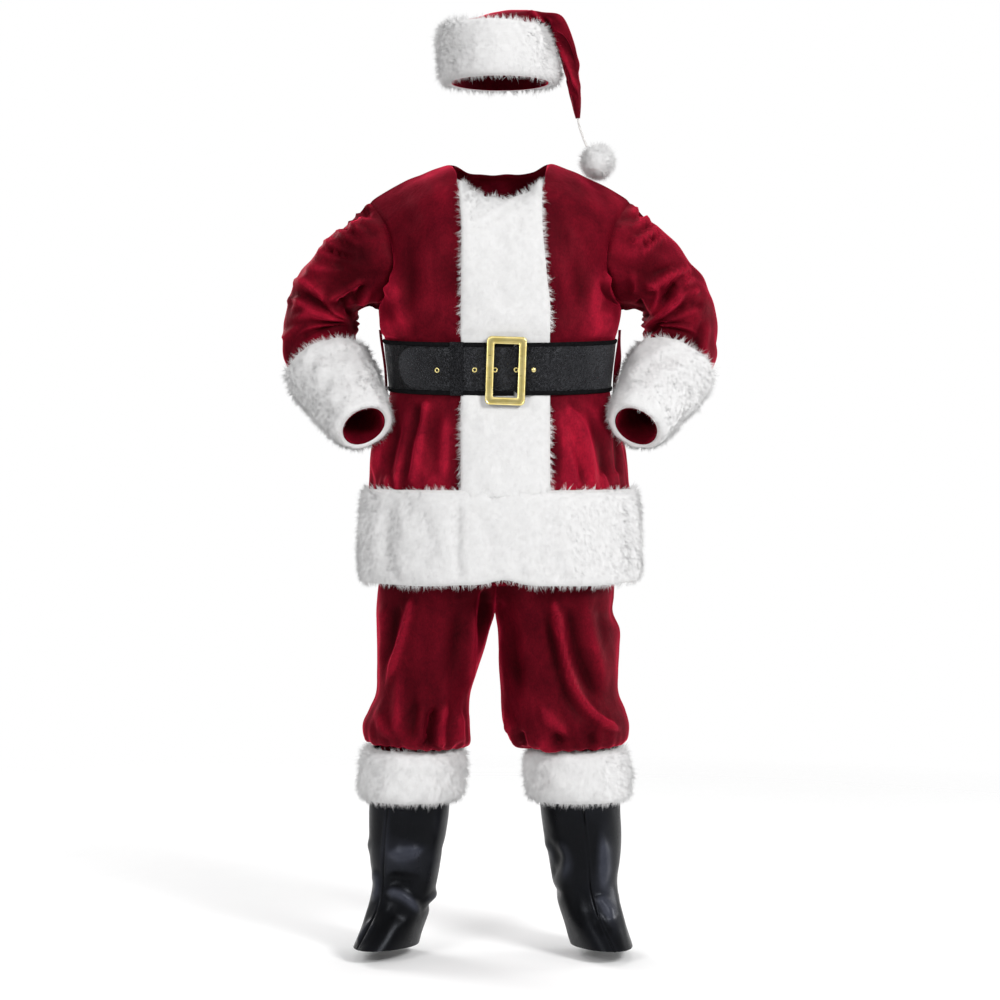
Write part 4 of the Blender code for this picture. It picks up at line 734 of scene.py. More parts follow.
# ---- smooth surfaces ----
def spline(values, knots, at):
    """Values at knots, along their first axis, read at `at` by a smooth cubic through them."""
    step = np.diff(knots).reshape((-1,) + (1,) * (values.ndim - 1))
    slope = np.diff(values, axis=0) / step
    inner = (slope[:-1] * step[1:] + slope[1:] * step[:-1]) / (step[:-1] + step[1:])
    return cubic(values, np.concatenate([slope[:1], inner, slope[-1:]]), knots, at)


def knots_of(grid):
    """Rising knots along a grid's rows, from the rows' mean distances."""
    return np.append(0, np.cumsum(lengths(grid).mean(axis=1)))


def cut_up(knots, times):
    """Each stretch between knots cut into `times` even ones."""
    inner = knots[:-1, None] + np.diff(knots)[:, None] * np.arange(times) / times
    return np.append(inner.ravel(), knots[-1])


def refined(grid, row_times, col_times, around=False, row_knots=None):
    """The grid on a smooth surface through its points. `around` joins its last column to its first."""
    knots = knots_of(grid) if row_knots is None else row_knots
    turned = spline(grid, knots, cut_up(knots, row_times)).transpose(1, 0, 2)
    wrap = 3 if around else 0
    if around:
        turned = np.concatenate([turned[-wrap:], turned, turned[:wrap]])
    knots = knots_of(turned)
    fine = spline(turned, knots, cut_up(knots, col_times))
    if around:
        fine = fine[wrap * col_times:(len(turned) - wrap) * col_times]
    return fine.transpose(1, 0, 2)


def closed(grid):
    """The same grid with its first column again at the end."""
    return np.concatenate([grid, grid[:, :1]], axis=1)


def charted(*coordinates):
    """Points, or places in a chart, from their coordinates."""
    return np.stack(np.broadcast_arrays(*coordinates), axis=-1)


def pinned(grid, edge, target, count):
    """The grid with one edge moved onto a line, and the move faded over `count` rows or columns."""
    g = grid if edge in ("first_row", "last_row") else grid.transpose(1, 0, 2)
    g = g[::-1] if edge.startswith("last") else g
    fade = 1 - ease(np.arange(len(g)) / count)
    g = g + (target - g[0])[None] * fade[:, None, None]
    g = g[::-1] if edge.startswith("last") else g
    return g if edge in ("first_row", "last_row") else g.transpose(1, 0, 2)


def normals_of(grids):
    """A unit normal outward at each point of each grid, the same where grids share a point."""
    total = []
    for grid in grids:
        across, up = grid[:, 1:] - grid[:, :-1], grid[1:] - grid[:-1]
        face = np.cross(across[:-1] + across[1:], up[:, :-1] + up[:, 1:])
        out = np.zeros_like(grid)
        for rows in (np.s_[:-1], np.s_[1:]):
            for cols in (np.s_[:-1], np.s_[1:]):
                out[rows, cols] += face
        if (out * (grid - grid.mean(axis=1, keepdims=True))).sum() < 0:
            out = -out
        total.append(out.reshape(-1, 3))
    points = np.concatenate([g.reshape(-1, 3) for g in grids])
    same = np.unique(np.round(points, 5), axis=0, return_inverse=True)[1].ravel()
    shared = np.zeros((same.max() + 1, 3))
    np.add.at(shared, same, np.concatenate(total))
    normals = np.split(unit(shared[same]), np.cumsum([g.shape[0] * g.shape[1] for g in grids])[:-1])
    return [n.reshape(g.shape) for n, g in zip(normals, grids)]


def waves(points, size, seed, count=9):
    """A smooth uneven field from about -1 to 1 with lumps of a size, one number or an x, y, z."""
    rng = np.random.default_rng(seed)
    turn = unit(rng.normal(size=(count, 3))) * math.pi * rng.uniform(0.6, 1.5, (count, 1))
    phase = rng.uniform(0, WHOLE_TURN, count)
    return np.sin(points / np.asarray(size) @ turn.T + phase).sum(axis=-1) / math.sqrt(count)


def uneven(points, table, seed):
    """The sum of a table's waves, with seeds from the first one on."""
    return sum(reach * waves(points, size, seed + k) for k, (reach, size) in enumerate(table))


def ease(t):
    t = np.clip(t, 0, 1)
    return t * t * (3 - 2 * t)


def bell(off):
    """1 at the middle and away to nothing some two units off it."""
    return np.exp(-off * off)


# ---- folds ----
def fold_height(chart, line, width, reach, start, end):
    """One soft ridge, or trough where reach < 0, along a line in a chart of the cloth.

    It fades in over the first `start` of the line and out over the last `end`, and it has a shallow
    valley, or swell, along each side.
    """
    run = run_along(line)
    run = run / run[-1]
    near, share = np.full(chart.shape[:-1], np.inf), np.zeros(chart.shape[:-1])
    for k in range(len(line) - 1):
        a, d = line[k], line[k + 1] - line[k]
        t = np.clip(((chart - a) @ d) / (d @ d), 0, 1)
        off = np.linalg.norm(chart - a - t[..., None] * d, axis=-1)
        share = np.where(off < near, run[k] + t * (run[k + 1] - run[k]), share)
        near = np.minimum(off, near)
    fade = ease(share / start) * ease((1 - share) / end)
    s = near / (width * (0.4 + 0.6 * fade))
    return reach * fade * bell(s) * (1.1 - 0.45 * s * s)


def folds_on(chart, folds, unit_size=0.001):
    """The sum of a table of folds over a chart, the places of their lines being in a unit."""
    height = np.zeros(chart.shape[:-1])
    for width, reach, start, end, *line in folds:
        line = np.round(np.reshape(line, (-1, 2)) * unit_size, 4)
        if len(line) > 2:           # its corners are eased
            knots = run_along(line)
            line = spline(line, knots, cut_up(knots, 4))
        height += fold_height(chart, line, width / 1000, reach / 1000, start, end)
    return height


def wrapped(chart, folds, period):
    """Folds over a chart that closes on itself after a period across."""
    return sum(folds_on(chart + (shift, 0), folds) for shift in (-period, 0, period))


def fanned(creases):
    """The creases that fan out each way from a line down the sleeve, as a table of folds."""
    folds = []
    for start, x, y, end_x, end_y, *sizes in creases:
        for (width, reach), way in zip((sizes[:2], sizes[2:]), (1, -1)):
            across = [FAN_X + way * (v - FAN_X) for v in (FAN_X + FAN_ROOM, x, end_x)]
            folds.append((width, reach, *FAN_FADES, across[0], start, across[1], y, across[2], end_y))
    return folds


def seen(points):
    """Where points appear from the front, across and up, at the scale of the middle plane."""
    near = -EYE_Y / (points[..., 1] - EYE_Y)
    return np.stack([points[..., 0] * near, EYE_HEIGHT + (points[..., 2] - EYE_HEIGHT) * near], axis=-1)


def facing(normals, whole=FACING):
    """From 0 at what is turned away from the front to 1 at what faces it."""
    return ease((0.02 - normals[..., 1]) / whole)


def front_folds(grid, normals, folds, whole=FACING):
    """Folds tabled as seen from the front, on what faces it."""
    return folds_on(seen(grid), folds, STEP) * facing(normals, whole)


def from_edges(grid, edges):
    """Each point's distance along the cloth from the nearest of the named edges."""
    out = np.full(grid.shape[:2], np.inf)
    for edge in edges:
        g = grid if edge in ("first_row", "last_row") else grid.transpose(1, 0, 2)
        g = g[::-1] if edge.startswith("last") else g
        run = np.concatenate([np.zeros((1, g.shape[1])), np.cumsum(lengths(g), axis=0)])
        run = run[::-1] if edge.startswith("last") else run
        out = np.minimum(out, run if edge in ("first_row", "last_row") else run.T)
    return out


def seamed(height, far, calm=0.018, depth=0.0022, width=0.0045):
    """Folds that come to rest at a seam, and the groove of the seam itself."""
    return height * ease(far / calm) - depth * bell(far / width)


def pleats(along_it, rise, gathers, seed):
    """Gathers square to an edge: uneven ripples along it that fade as they rise above it."""
    rng = np.random.default_rng(seed)
    count, reach = gathers
    height, total = np.zeros(rise.shape), along_it.max()
    for k in range(count):
        at = (k + rng.uniform(0.15, 0.85)) / count * total
        wide, far = rng.uniform(0.006, 0.011), rng.uniform(0.5, 1.0)
        lean = rng.uniform(-0.25, 0.25)
        off = (along_it - at - lean * rise) / wide
        height += reach * far * bell(off) * np.exp(-rise / (0.05 * far + 0.02))
    return height


# ---- meshes ----
def linked(name, data, slot=None):
    """An object in the scene, put on the root body where it has a slot."""
    made = bpy.data.objects.new(name, data)
    bpy.context.scene.collection.objects.link(made)
    if slot:
        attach(made, "root")
    return made


def new_object(name, vertices, faces, slot, look=None, sharp=50):
    """One piece on the root body, with its material. Vertices are heights above the floor."""
    mesh = bpy.data.meshes.new(name)
    mesh.from_pydata((np.asarray(vertices, float) - (0, 0, NECK_HEIGHT)).tolist(), [], faces)
    mesh.materials.append(LOOKS[look or slot])
    mesh.shade_smooth()
    if sharp:
        mesh.set_sharp_from_angle(angle=math.radians(sharp))
    return linked(name, mesh, slot)


def quads(index):
    """Faces over a 2D array of vertex numbers."""
    corners = (index[:-1, :-1], index[:-1, 1:], index[1:, 1:], index[1:, :-1])
    return np.stack(corners, axis=-1).reshape(-1, 4)


def tube_faces(rings, steps):
    """Faces over rings of points, the last ring joined to the first."""
    index = closed(np.arange(rings * steps).reshape(rings, steps))
    return quads(np.append(index, index[:1], axis=0))


def stitched(fine, coarse):
    """Triangles between an edge and one that has a vertex for each second one of it."""
    a, b, c = fine[:-2:2], fine[1:-1:2], fine[2::2]
    p, q = coarse[:-1], coarse[1:]
    return np.concatenate([np.stack(f, axis=-1) for f in ((b, a, p), (b, p, q), (c, b, q))])


def shell_faces(rows, cols, around, halved):
    """Faces of a closed thin piece: the outer grid's points first, then the inner one's."""
    small_rows, small_cols = rows, cols
    if halved:
        small_rows, small_cols = (rows + 1) // 2, cols // 2 if around else (cols + 1) // 2
    big = np.arange(rows * cols).reshape(rows, cols)
    small = rows * cols + np.arange(small_rows * small_cols).reshape(small_rows, small_cols)
    if around:
        big, small = closed(big), closed(small)
    edges = [(big[0], small[0]), (big[-1, ::-1], small[-1, ::-1])]
    if not around:
        edges += [(big[::-1, 0], small[::-1, 0]), (big[:, -1], small[:, -1])]
    faces = quads(big).tolist() + quads(small)[:, ::-1].tolist()
    for fine, coarse in edges:
        if halved:
            faces += stitched(fine, coarse).tolist()
        else:
            faces += np.stack([fine[1:], fine[:-1], coarse[:-1], coarse[1:]], axis=-1).tolist()
    return faces


def shell(name, outer, inner, slot, around=False, look=None, sharp=50, halved=True):
    """A closed thin piece. Where it is halved, every second point of the inner grid is used."""
    faces = shell_faces(*outer.shape[:2], around, halved)
    if halved:
        inner = inner[::2, ::2]
    points = np.concatenate([outer.reshape(-1, 3), inner.reshape(-1, 3)])
    a, b, c = (points[[f[k] for f in faces]] - points.mean(axis=0) for k in range(3))
    if np.einsum("ij,ij->i", a, np.cross(b, c)).sum() < 0:
        faces = [f[::-1] for f in faces]
    return new_object(name, points, faces, slot, look, sharp)


def set_painted_light(piece, painted_light):
    """Stores the painted light and shade on a piece at each point, from -1 to 1, for its material."""
    piece.data.attributes.new("painted_light", "FLOAT", "POINT").data.foreach_set("value", painted_light)


def set_shell_painted_light(piece, painted_light):
    """The same for a halved shell, whose inner points take every second value."""
    set_painted_light(piece, np.clip(np.concatenate([painted_light.ravel(), painted_light[::2, ::2].ravel()]), -1, 1))


def painted_patches_at(grid, normals):
    """The painted light at each point, and painted shade where it is below 0, from the table of painted
    patches.
    """
    places, light = seen(grid), 0.0
    for x, z, wide, tall, much in PAINTED_PATCHES:
        off = (places - np.round([x * STEP, z * STEP], 4)) * 1000 / (wide, tall)
        light = light + much * np.exp(-(off * off).sum(axis=-1))
    return light * facing(normals)


def stand_in(node):
    """Hides the CAD node that a piece stands for."""
    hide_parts(node)


def panel(node, grid, normals, height, slot="velvet", look=None, sharp=50):
    """A cloth panel that stands for its CAD node: the grid moved out by a height at each point."""
    outer = grid + normals * height[..., None]
    piece = shell(node + "_cloth", outer, outer - normals * CLOTH, slot, look=look, sharp=sharp)
    # painted highlight on the folds' ridges and painted shade in their valleys and seam grooves, with the
    # painted patches
    set_shell_painted_light(piece, height / HIGHLIGHT_REACH + painted_patches_at(grid, normals))
    stand_in(node)


def halves(count):
    """The columns of the first and second halves of a closed ring of twice as many."""
    return np.s_[:, :count + 1], np.s_[:, count:]


def mixed(values, row, col, s, t):
    """Values of a grid read between its points, s of the way to the next row and t to the next column."""
    low = values[row, col] * (1 - t) + values[row, col + 1] * t
    high = values[row + 1, col] * (1 - t) + values[row + 1, col + 1] * t
    return low * (1 - s) + high * s


# ---- fur ----
def scattered(grid, normals, per_m2, rng, around=False):
    """Random places over a grid, evenly by area.

    Gives points, normals, the directions down and across the grid, and shares of its rows and columns.
    """
    g, n = (closed(grid), closed(normals)) if around else (grid, normals)
    a, b = g[:-1, 1:] - g[:-1, :-1], g[1:, :-1] - g[:-1, :-1]
    run = np.cumsum(np.linalg.norm(np.cross(a, b), axis=2).ravel())
    count = int(run[-1] * per_m2)
    cell = np.searchsorted(run, (np.arange(count) + rng.uniform(size=count)) / count * run[-1])
    row, col = np.divmod(np.minimum(cell, len(run) - 1), g.shape[1] - 1)
    s, t = rng.uniform(size=(2, count, 1))
    down, side = unit(g[row, col] - g[row + 1, col]), unit(g[row, col + 1] - g[row, col])
    return (mixed(g, row, col, s, t), unit(mixed(n, row, col, s, t)), down, side,
            (row + s[:, 0]) / (len(g) - 1), (col + t[:, 0]) / (g.shape[1] - 1))


def strands(name, roots, normals, lay, length, rng):
    """Clumps of fine tapered hairs as one mesh: from round each root along its lay, closing to one tip."""
    n = np.repeat(normals, HAIRS_PER_CLUMP, axis=0)
    roots = np.repeat(roots, HAIRS_PER_CLUMP, axis=0)
    tips = roots + np.repeat(unit(lay) * length[:, None], HAIRS_PER_CLUMP, axis=0)
    tips += rng.normal(size=tips.shape) * (0.0017 + 0.0018 * rng.uniform(size=(len(tips), 1)))
    around = rng.normal(size=roots.shape)
    around -= n * np.sum(around * n, axis=1, keepdims=True)
    roots = roots + around * CLUMP_SPREAD - n * HAIR_SUNK
    axis = unit(tips - roots)
    u = unit(np.cross(axis, rng.normal(size=roots.shape)))
    v = np.cross(axis, u)
    wide = (HAIR_WIDTH * rng.uniform(0.7, 1.25, (len(tips), 1))) / 2
    points = [roots + (u * math.cos(a) + v * math.sin(a)) * wide for a in (0, 2.0944, 4.1888)] + [tips]
    index = np.arange(len(tips)) * 4
    faces = [f for a, b in ((0, 1), (1, 2), (2, 0))
             for f in np.stack([index + a, index + b, index + 3], 1).tolist()]
    piece = new_object(name, np.stack(points, axis=1).reshape(-1, 3), faces, "fur", "strands", sharp=None)
    lean = unit(axis * (1 - HAIR_SOFT) + n * HAIR_SOFT)
    piece.data.normals_split_custom_set_from_vertices(np.repeat(lean, 4, axis=0).tolist())
    piece.visible_shadow = False        # hairs this fine let the light through to one another
    piece.visible_diffuse = False
    return piece


def fur_trim(node, grid, normals, reach, around=False, seed=1, down=1.0, splay=1.0,
             per_m2=24000, length=(0.008, 0.013), trim=None, lumpy=1.0):
    """A fur trim: a soft domed body on the cloth and the pile that stands on it.

    reach is the CAD's reach at each point. The pile is combed down, and splays out over the edges.
    """
    rng = np.random.default_rng(seed)
    lumps = sum(high * waves(grid, size, seed + more) for high, size, more in FUR_LUMPS)
    full = reach * FUR_GROUND + lumpy * lumps * np.clip(reach / 0.012, 0, 1)
    outer = grid + normals * (0.0008 + full)[..., None]
    body = shell(node + "_body", outer, grid + normals * LIFT, "fur", around, sharp=None)
    whole, = normals_of([closed(outer) if around else outer])
    whole = whole[:, :-1] if around else whole
    roots, n, fall, side, row, col = scattered(outer, whole, per_m2, rng, around)
    swirl = waves(roots, 0.045, seed + 7)[:, None] * side + waves(roots, 0.06, seed + 9)[:, None] * fall * 0.5
    low, high, first, last = (np.clip(1 - t / share, 0, 1)[:, None] for t, share in (
        (row, 0.13), (1 - row, 0.10), (col, 0.14), (1 - col, 0.14)))
    edge = low * fall - high * fall * 0.9
    if not around:
        edge = edge + (last - first) * side * 1.3
    lay = n * 0.50 + fall * 0.60 * down + swirl * 0.30 + edge * splay + rng.normal(size=n.shape) * 0.16
    long = rng.uniform(*length, len(roots))
    if trim is not None:
        long = long * trim(roots)
    keep = long > HAIR_SHORTEST
    pile = strands(node + "_pile", roots[keep], n[keep], lay[keep], long[keep], rng)
    stand_in(node)


def domed(count, share):
    """From 0 at both ends of a count of places up a quarter circle to 1, over a share of the way."""
    t = np.linspace(0, 1, count)
    in_from = np.clip(np.minimum(t, 1 - t) / share, 0, 1)
    return np.sqrt(1 - (1 - in_from) ** 2)


def domed_reach(rows, cols, reach, edge, share=0.22):
    """A fine reach array, round to `edge` at its first and last rows."""
    return np.repeat((edge + (reach - edge) * domed(rows, share))[:, None], cols, axis=1)


# ---- the jacket ----
def fine_jacket():
    """The front, the back and both sleeves as fine grids; the sleeves' first rows are the armholes."""
    front, back = jacket_grids()
    knots = knots_of(np.concatenate([front, back], axis=1))
    fine_front, fine_back = (refined(g, FINE, JACKET_FINE, row_knots=knots) for g in (front, back))
    fine_back = match_shoulders(fine_front, fine_back)
    sleeves = {}
    for side, sign in SIDES.items():
        coarse = sleeve_grid(armhole_loop(front, back, side), sign)
        fine = refined(coarse, FINE, SLEEVE_FINE, around=True)
        loop = armhole_loop(fine_front, fine_back, side, FINE)
        sleeves[side] = closed(pinned(fine, "first_row", loop, 2 * FINE))
    return fine_front, fine_back, sleeves


def match_shoulders(front, back):
    """The back with its shoulder seams moved onto the front's."""
    cols = (FRONT_MIDDLE - NECK_COLS_FRONT) * JACKET_FINE + 1
    target = back[-1].copy()
    target[:cols] = front[-1, ::-1][:cols]
    target[-cols:] = front[-1, ::-1][-cols:]
    return pinned(back, "last_row", target, FINE)


def folds_around(grid, folds):
    """Folds that run on from front to back, by distance round from the left side and height."""
    turn = np.arctan2(grid[..., 1], grid[..., 0])
    return wrapped(charted(turn / WHOLE_TURN * BODY_GIRTH, grid[..., 2]), folds, BODY_GIRTH)


def jacket_height(grid, edges, folds):
    """How far a jacket panel's folds stand out: they rest under the belt and the hem's fur."""
    rows = np.arange(len(grid)) / FINE
    off_belt = ease(np.maximum(BELT_ROWS[0] - rows, rows - BELT_ROWS[-1]) / 0.6)[:, None]
    off_belt = off_belt * ease((rows - HEM_ROWS[-1] + 0.35) / 0.3)[:, None]
    height = (folds + uneven(grid, JACKET_UNEVEN, JACKET_SEED) + folds_around(grid, RING_FOLDS)) * off_belt
    return seamed(height, from_edges(grid, edges)) * np.maximum(off_belt, 0.1)


def hem_gathers(grid, seed):
    """Small folds that fan up from the top of the hem's fur."""
    rise = np.maximum(grid[..., 2] - JACKET[HEM_ROWS[-1]][0], 0)
    return pleats(run_along(grid[HEM_ROWS[-1] * FINE]), rise, HEM_GATHERS, seed)


def make_jacket():
    front, back, sleeves = fine_jacket()
    n_front, n_back, *n_sleeves = normals_of([front, back, *sleeves.values()])
    folds = front_folds(front, n_front, JACKET_FOLDS) + hem_gathers(front, 3)
    height = jacket_height(front, SIDE_EDGES, folds)
    for side, part in zip(SIDES, halves(FRONT_MIDDLE * JACKET_FINE)):
        panel("jacket_front_" + side, front[part], n_front[part], height[part])
    folds = folds_on(back[..., ::2], BACK_FOLDS) + hem_gathers(back, 4)
    height = jacket_height(back, SIDE_EDGES, folds)
    panel("jacket_back", back, n_back, height)
    for (side, ring), n in zip(sleeves.items(), n_sleeves):
        make_sleeve(side, ring, n)
    return front, back, n_front, n_back


def make_sleeve(side, ring, n):
    """Two cloth halves round the arm, and the cuff's fur over their lower end."""
    chart = charted(np.linspace(0, SLEEVE_GIRTH, ring.shape[1]), knots_of(ring)[:, None])
    down = chart[..., 1]
    folds = wrapped(chart, fanned(SLEEVE_FANS[side]) + list(SLEEVE_FOLDS[side]), SLEEVE_GIRTH)
    folds += front_folds(ring, n, SLEEVE_FRONT_FOLDS[side])
    seed = SLEEVE_SEED[side]
    folds += uneven(ring, SLEEVE_UNEVEN, seed)
    gathers = pleats(chart[..., 0], down, SHOULDER_GATHERS, seed + 2)
    height = seamed(folds, from_edges(ring, ("first_row",)), 0.012) + gathers * ease(down / 0.012)
    height *= ease((CUFF_FIRST + 0.3 - np.arange(len(ring)) / FINE) / 0.5)[:, None]
    for name, part in zip(("front", "back"), halves((ring.shape[1] - 1) // 2)):
        panel(f"sleeve_{name}_{side}", ring[part], n[part], height[part])
    rows = np.s_[:CUFF_FIRST * FINE - 1:-1, :-1]        # from the wrist up
    cuff = ring[rows]
    reach = domed_reach(*cuff.shape[:2], CUFF_REACH, CUFF_EDGE * 0.8)
    fur_trim("cuff_fur_" + side, cuff, n[rows], reach, around=True, seed=seed + 5,
             down=0.8)


def make_front_fur(front, n):
    """The strip down the front, flat under the belt."""
    sides = [(FRONT_MIDDLE + k) * JACKET_FINE for k in (-PLACKET_COLS, PLACKET_COLS)]
    part = np.s_[HEM_ROWS[-1] * FINE - 2:, sides[0]:sides[1] + 1]
    strip = front[part]
    edge, flat = PLACKET_EDGE * 0.6, FUR_PRESSED * 0.8
    reach = domed_reach(strip.shape[1], len(strip), PLACKET_REACH, edge, 0.30).T
    low, high = JACKET[BELT_ROWS[0]][0], JACKET[BELT_ROWS[-1]][0]
    x, z = strip[..., 0], strip[..., 2]
    off_belt = np.maximum(np.maximum(low - z, z - high), 0)
    off_buckle = np.maximum(np.abs(x - BUCKLE_X) - BUCKLE_WIDE / 2,
                            np.abs(z - BUCKLE_HEIGHT) - BUCKLE_TALL / 2)
    away = np.minimum(off_belt, np.maximum(off_buckle - 0.004, 0))
    pressed = flat + (PLACKET_REACH - flat) * ease(away / (FUR_PRESS_FADE * 0.8)) ** 0.7

    def trim(roots):
        """Shorter beside the belt, and shorter still beside its buckle."""
        gap = np.maximum(low - HAIRS_HANG - roots[:, 2], roots[:, 2] - (high - HAIRS_HANG))
        buckle = np.abs(roots[:, 0] - BUCKLE_X) < BUCKLE_WIDE / 2 + 0.006
        return ease((gap - np.where(buckle, CLEAR_OF_BUCKLE, CLEAR_OF_BELT)) / CLEAR_FADE)

    fur_trim("placket_fur", strip, n[part], np.minimum(reach, pressed), seed=61, down=0.9, trim=trim,
             lumpy=0.6)


def make_hem_fur(front, back, n_front, n_back):
    """The deep trim round the hem, in soft upright folds, its lower edge swaying."""
    rows = HEM_ROWS[-1] * FINE + 1
    ring, n = ring_grid(front, back)[:rows], ring_grid(n_front, n_back)[:rows]
    folds = front_folds(ring, n, HEM_FOLDS, 0.3) + folds_around(ring, HEM_BACK_FOLDS)
    down = 1 - np.linspace(0, 1, rows)[:, None]
    reach = domed_reach(*ring.shape[:2], HEM_REACH, FUR_EDGE * 0.9) + folds * np.minimum(1, 6 * down)
    sway = 0.0030 * waves(ring * (1, 1, 0), 0.10, 77)
    notch = 0.010 * bell((ring[..., 0] - 0.008) / 0.030) * (ring[..., 1] < 0)
    ring[..., 2] += (sway + notch) * down ** 1.5
    fur_trim("hem_fur", ring, n, reach, around=True, seed=71, per_m2=20000, lumpy=0.6, length=(0.009, 0.014))


# ---- the belt ----
class Belt:
    """The belt's surface round the jacket, read at the CAD's columns and a share of its height."""

    def __init__(self, front, back, n_front, n_back):
        rows = slice(BELT_ROWS[0] * FINE, BELT_ROWS[-1] * FINE + 1)
        self.ring = closed(ring_grid(front, back)[rows])
        self.n = closed(ring_grid(n_front, n_back)[rows])
        coarse = np.concatenate(jacket_grids(), axis=1)[BELT_ROWS[0]:BELT_ROWS[-1] + 1]
        self.columns, self.offsets = belt_path(np.delete(coarse, 2 * FRONT_MIDDLE, axis=1))
        self.tall = float(np.linalg.norm(self.ring[-1, 0] - self.ring[0, 0]))

    def read(self, columns, shares, offset):
        """Points at CAD columns and shares of the height, out from the jacket, and their normals."""
        columns, shares, offset = np.broadcast_arrays(columns, shares, offset)
        at = (columns * JACKET_FINE) % (self.ring.shape[1] - 1)
        col = np.minimum(np.floor(at).astype(int), self.ring.shape[1] - 2)
        up = shares * (len(self.ring) - 1)
        row = np.clip(np.floor(up).astype(int), 0, len(self.ring) - 2)
        spot = (row, col, (up - row)[..., None], (at - col)[..., None])
        n = unit(mixed(self.n, *spot))
        return mixed(self.ring, *spot) + n * offset[..., None], n

    def column(self, x):
        return column_of_x(self.ring, x, JACKET_FINE)

    def offset(self, columns):
        """How far the strap's inner face is off the jacket."""
        return np.interp(columns, self.columns, self.offsets)


def make_belt(belt):
    """The strap with its round tongue, its fabric edging, the keeper, eyelets and stud."""
    tip = belt.columns[0]
    near = np.interp(TONGUE_X[0] + TIP_LONG, [TONGUE_X[0], 0], [tip, belt.column(0)])
    fine = np.arange(math.ceil(near * BELT_STEPS) / BELT_STEPS, belt.columns[-1], 1 / BELT_STEPS)
    first = tip + (fine[0] - tip) * np.linspace(0, 1, 17)[:-1] ** 2
    columns = np.concatenate([first, fine, belt.columns[-1:]])
    columns = columns[:len(columns) - (len(columns) + 1) % 2]
    offsets = belt.offset(columns)
    stands = TIP_STANDS * (1 - ease((columns - tip) / (belt.column(EYELET_X[0]) - tip)))
    flare = [belt.column(x) for x in TONGUE_FLARE_X]
    narrow = TONGUE_NARROW * (1 - ease((columns - flare[0]) / (flare[1] - flare[0])))
    left = 1 - np.clip((columns - tip) / (near - tip), 0, 1)
    narrow += (belt.tall / 2 - TONGUE_NARROW) * 0.97 * (1 - np.sqrt(np.maximum(1 - left ** 2, 0)))
    t = np.linspace(0, 1, 21)[:, None]
    shares = (narrow + (belt.tall - 2 * narrow) * t) / belt.tall
    inset = np.minimum(t, 1 - t) * (belt.tall - 2 * narrow)
    crown = (RIM_DROP + stands) * (ease(inset / RIM_WIDE) - 1)
    outer = belt.read(columns, shares, offsets + BELT_THICK + stands + crown)[0]
    strap = shell("belt_strap_vinyl", outer, belt.read(columns, shares, offsets)[0], "vinyl")
    # painted sheen and shade across the strap's front, lighter and darker from place to place
    painted_sheen = [np.interp(outer[..., 0], *np.transpose(table)) for table in (TONGUE_PAINTED_SHEEN, STRAP_PAINTED_SHEEN)]
    set_shell_painted_light(strap, np.where(columns < flare[1], *painted_sheen) * (outer[..., 1] < 0))
    first = int(np.argmax(columns >= flare[1]))
    trims = [make_edging(belt, name, columns[first:], offsets[first:]) for name in ("bottom", "top")]
    with_pieces = [*trims, make_keeper(belt), *make_eyelets(belt)]
    stand_in("belt_strap")


def make_edging(belt, name, columns, offsets):
    """The woven binding along one edge of the strap."""
    inset, bulge = (column[:, None] for column in np.transpose(EDGING))
    shares = inset / belt.tall
    shares = shares if name == "bottom" else 1 - shares
    base = offsets + BELT_THICK + LIFT * 0.5
    outer = belt.read(columns, shares, base + bulge)[0]
    inner = belt.read(columns, np.clip(shares, 0.001, 0.999), base + np.minimum(bulge, 0) - 0.0003)[0]
    piece = shell(f"belt_edging_{name}_binding", outer, inner, "edging", halved=False)
    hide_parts("belt_edging_" + name)
    return piece


def make_keeper(belt):
    """A dull strip over both layers of the strap, with a raised stitched edge down each side."""
    columns = np.array([belt.column(x) for x in np.linspace(*KEEPER_X, 9)])
    face = belt.offset(columns) + BELT_THICK + LIFT
    under = face - 2 * BELT_THICK
    room, grow = KEEPER_ROOM / belt.tall, (KEEPER_ROOM + KEEPER_THICK) / belt.tall
    shares = [-grow, -grow, -grow * 0.7, *np.linspace(0.01, 0.99, 13), 1 + grow * 0.7, 1 + grow, 1 + grow]
    lift = [0.0, 0.75, 0.97, *[1.0] * 13, 0.97, 0.75, 0.0]
    shares, lift = np.array(shares)[:, None], np.array(lift)[:, None]
    raised = 0.0006 * bell((np.abs(np.linspace(-1, 1, 9)) - 0.80) / 0.16)
    top = under + (face + KEEPER_THICK - under) * lift + raised * (lift == 1)
    outer = belt.read(columns, shares, top)[0]
    inner = belt.read(columns, np.clip(shares, -room, 1 + room), np.minimum(top, face))[0]
    piece = shell("belt_keeper_loop", outer, inner, "vinyl", look="keeper", halved=False)
    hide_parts("belt_keeper")
    return piece


def turned_mesh(name, profile, centre, normal, steps=32):
    """A body turned round a normal, from a closed profile of radius and distance out."""
    axis = Vector(normal).to_track_quat("Z", "Y").to_matrix()
    profile, angles = np.array(profile), np.linspace(0, WHOLE_TURN, steps, endpoint=False)
    radius, rise = profile.T[..., None]
    points = charted(radius * np.cos(angles), radius * np.sin(angles), rise) @ np.array(axis).T + centre
    faces = tube_faces(len(profile), steps).tolist()
    return new_object(name, points.reshape(-1, 3), faces, "gold", sharp=40)


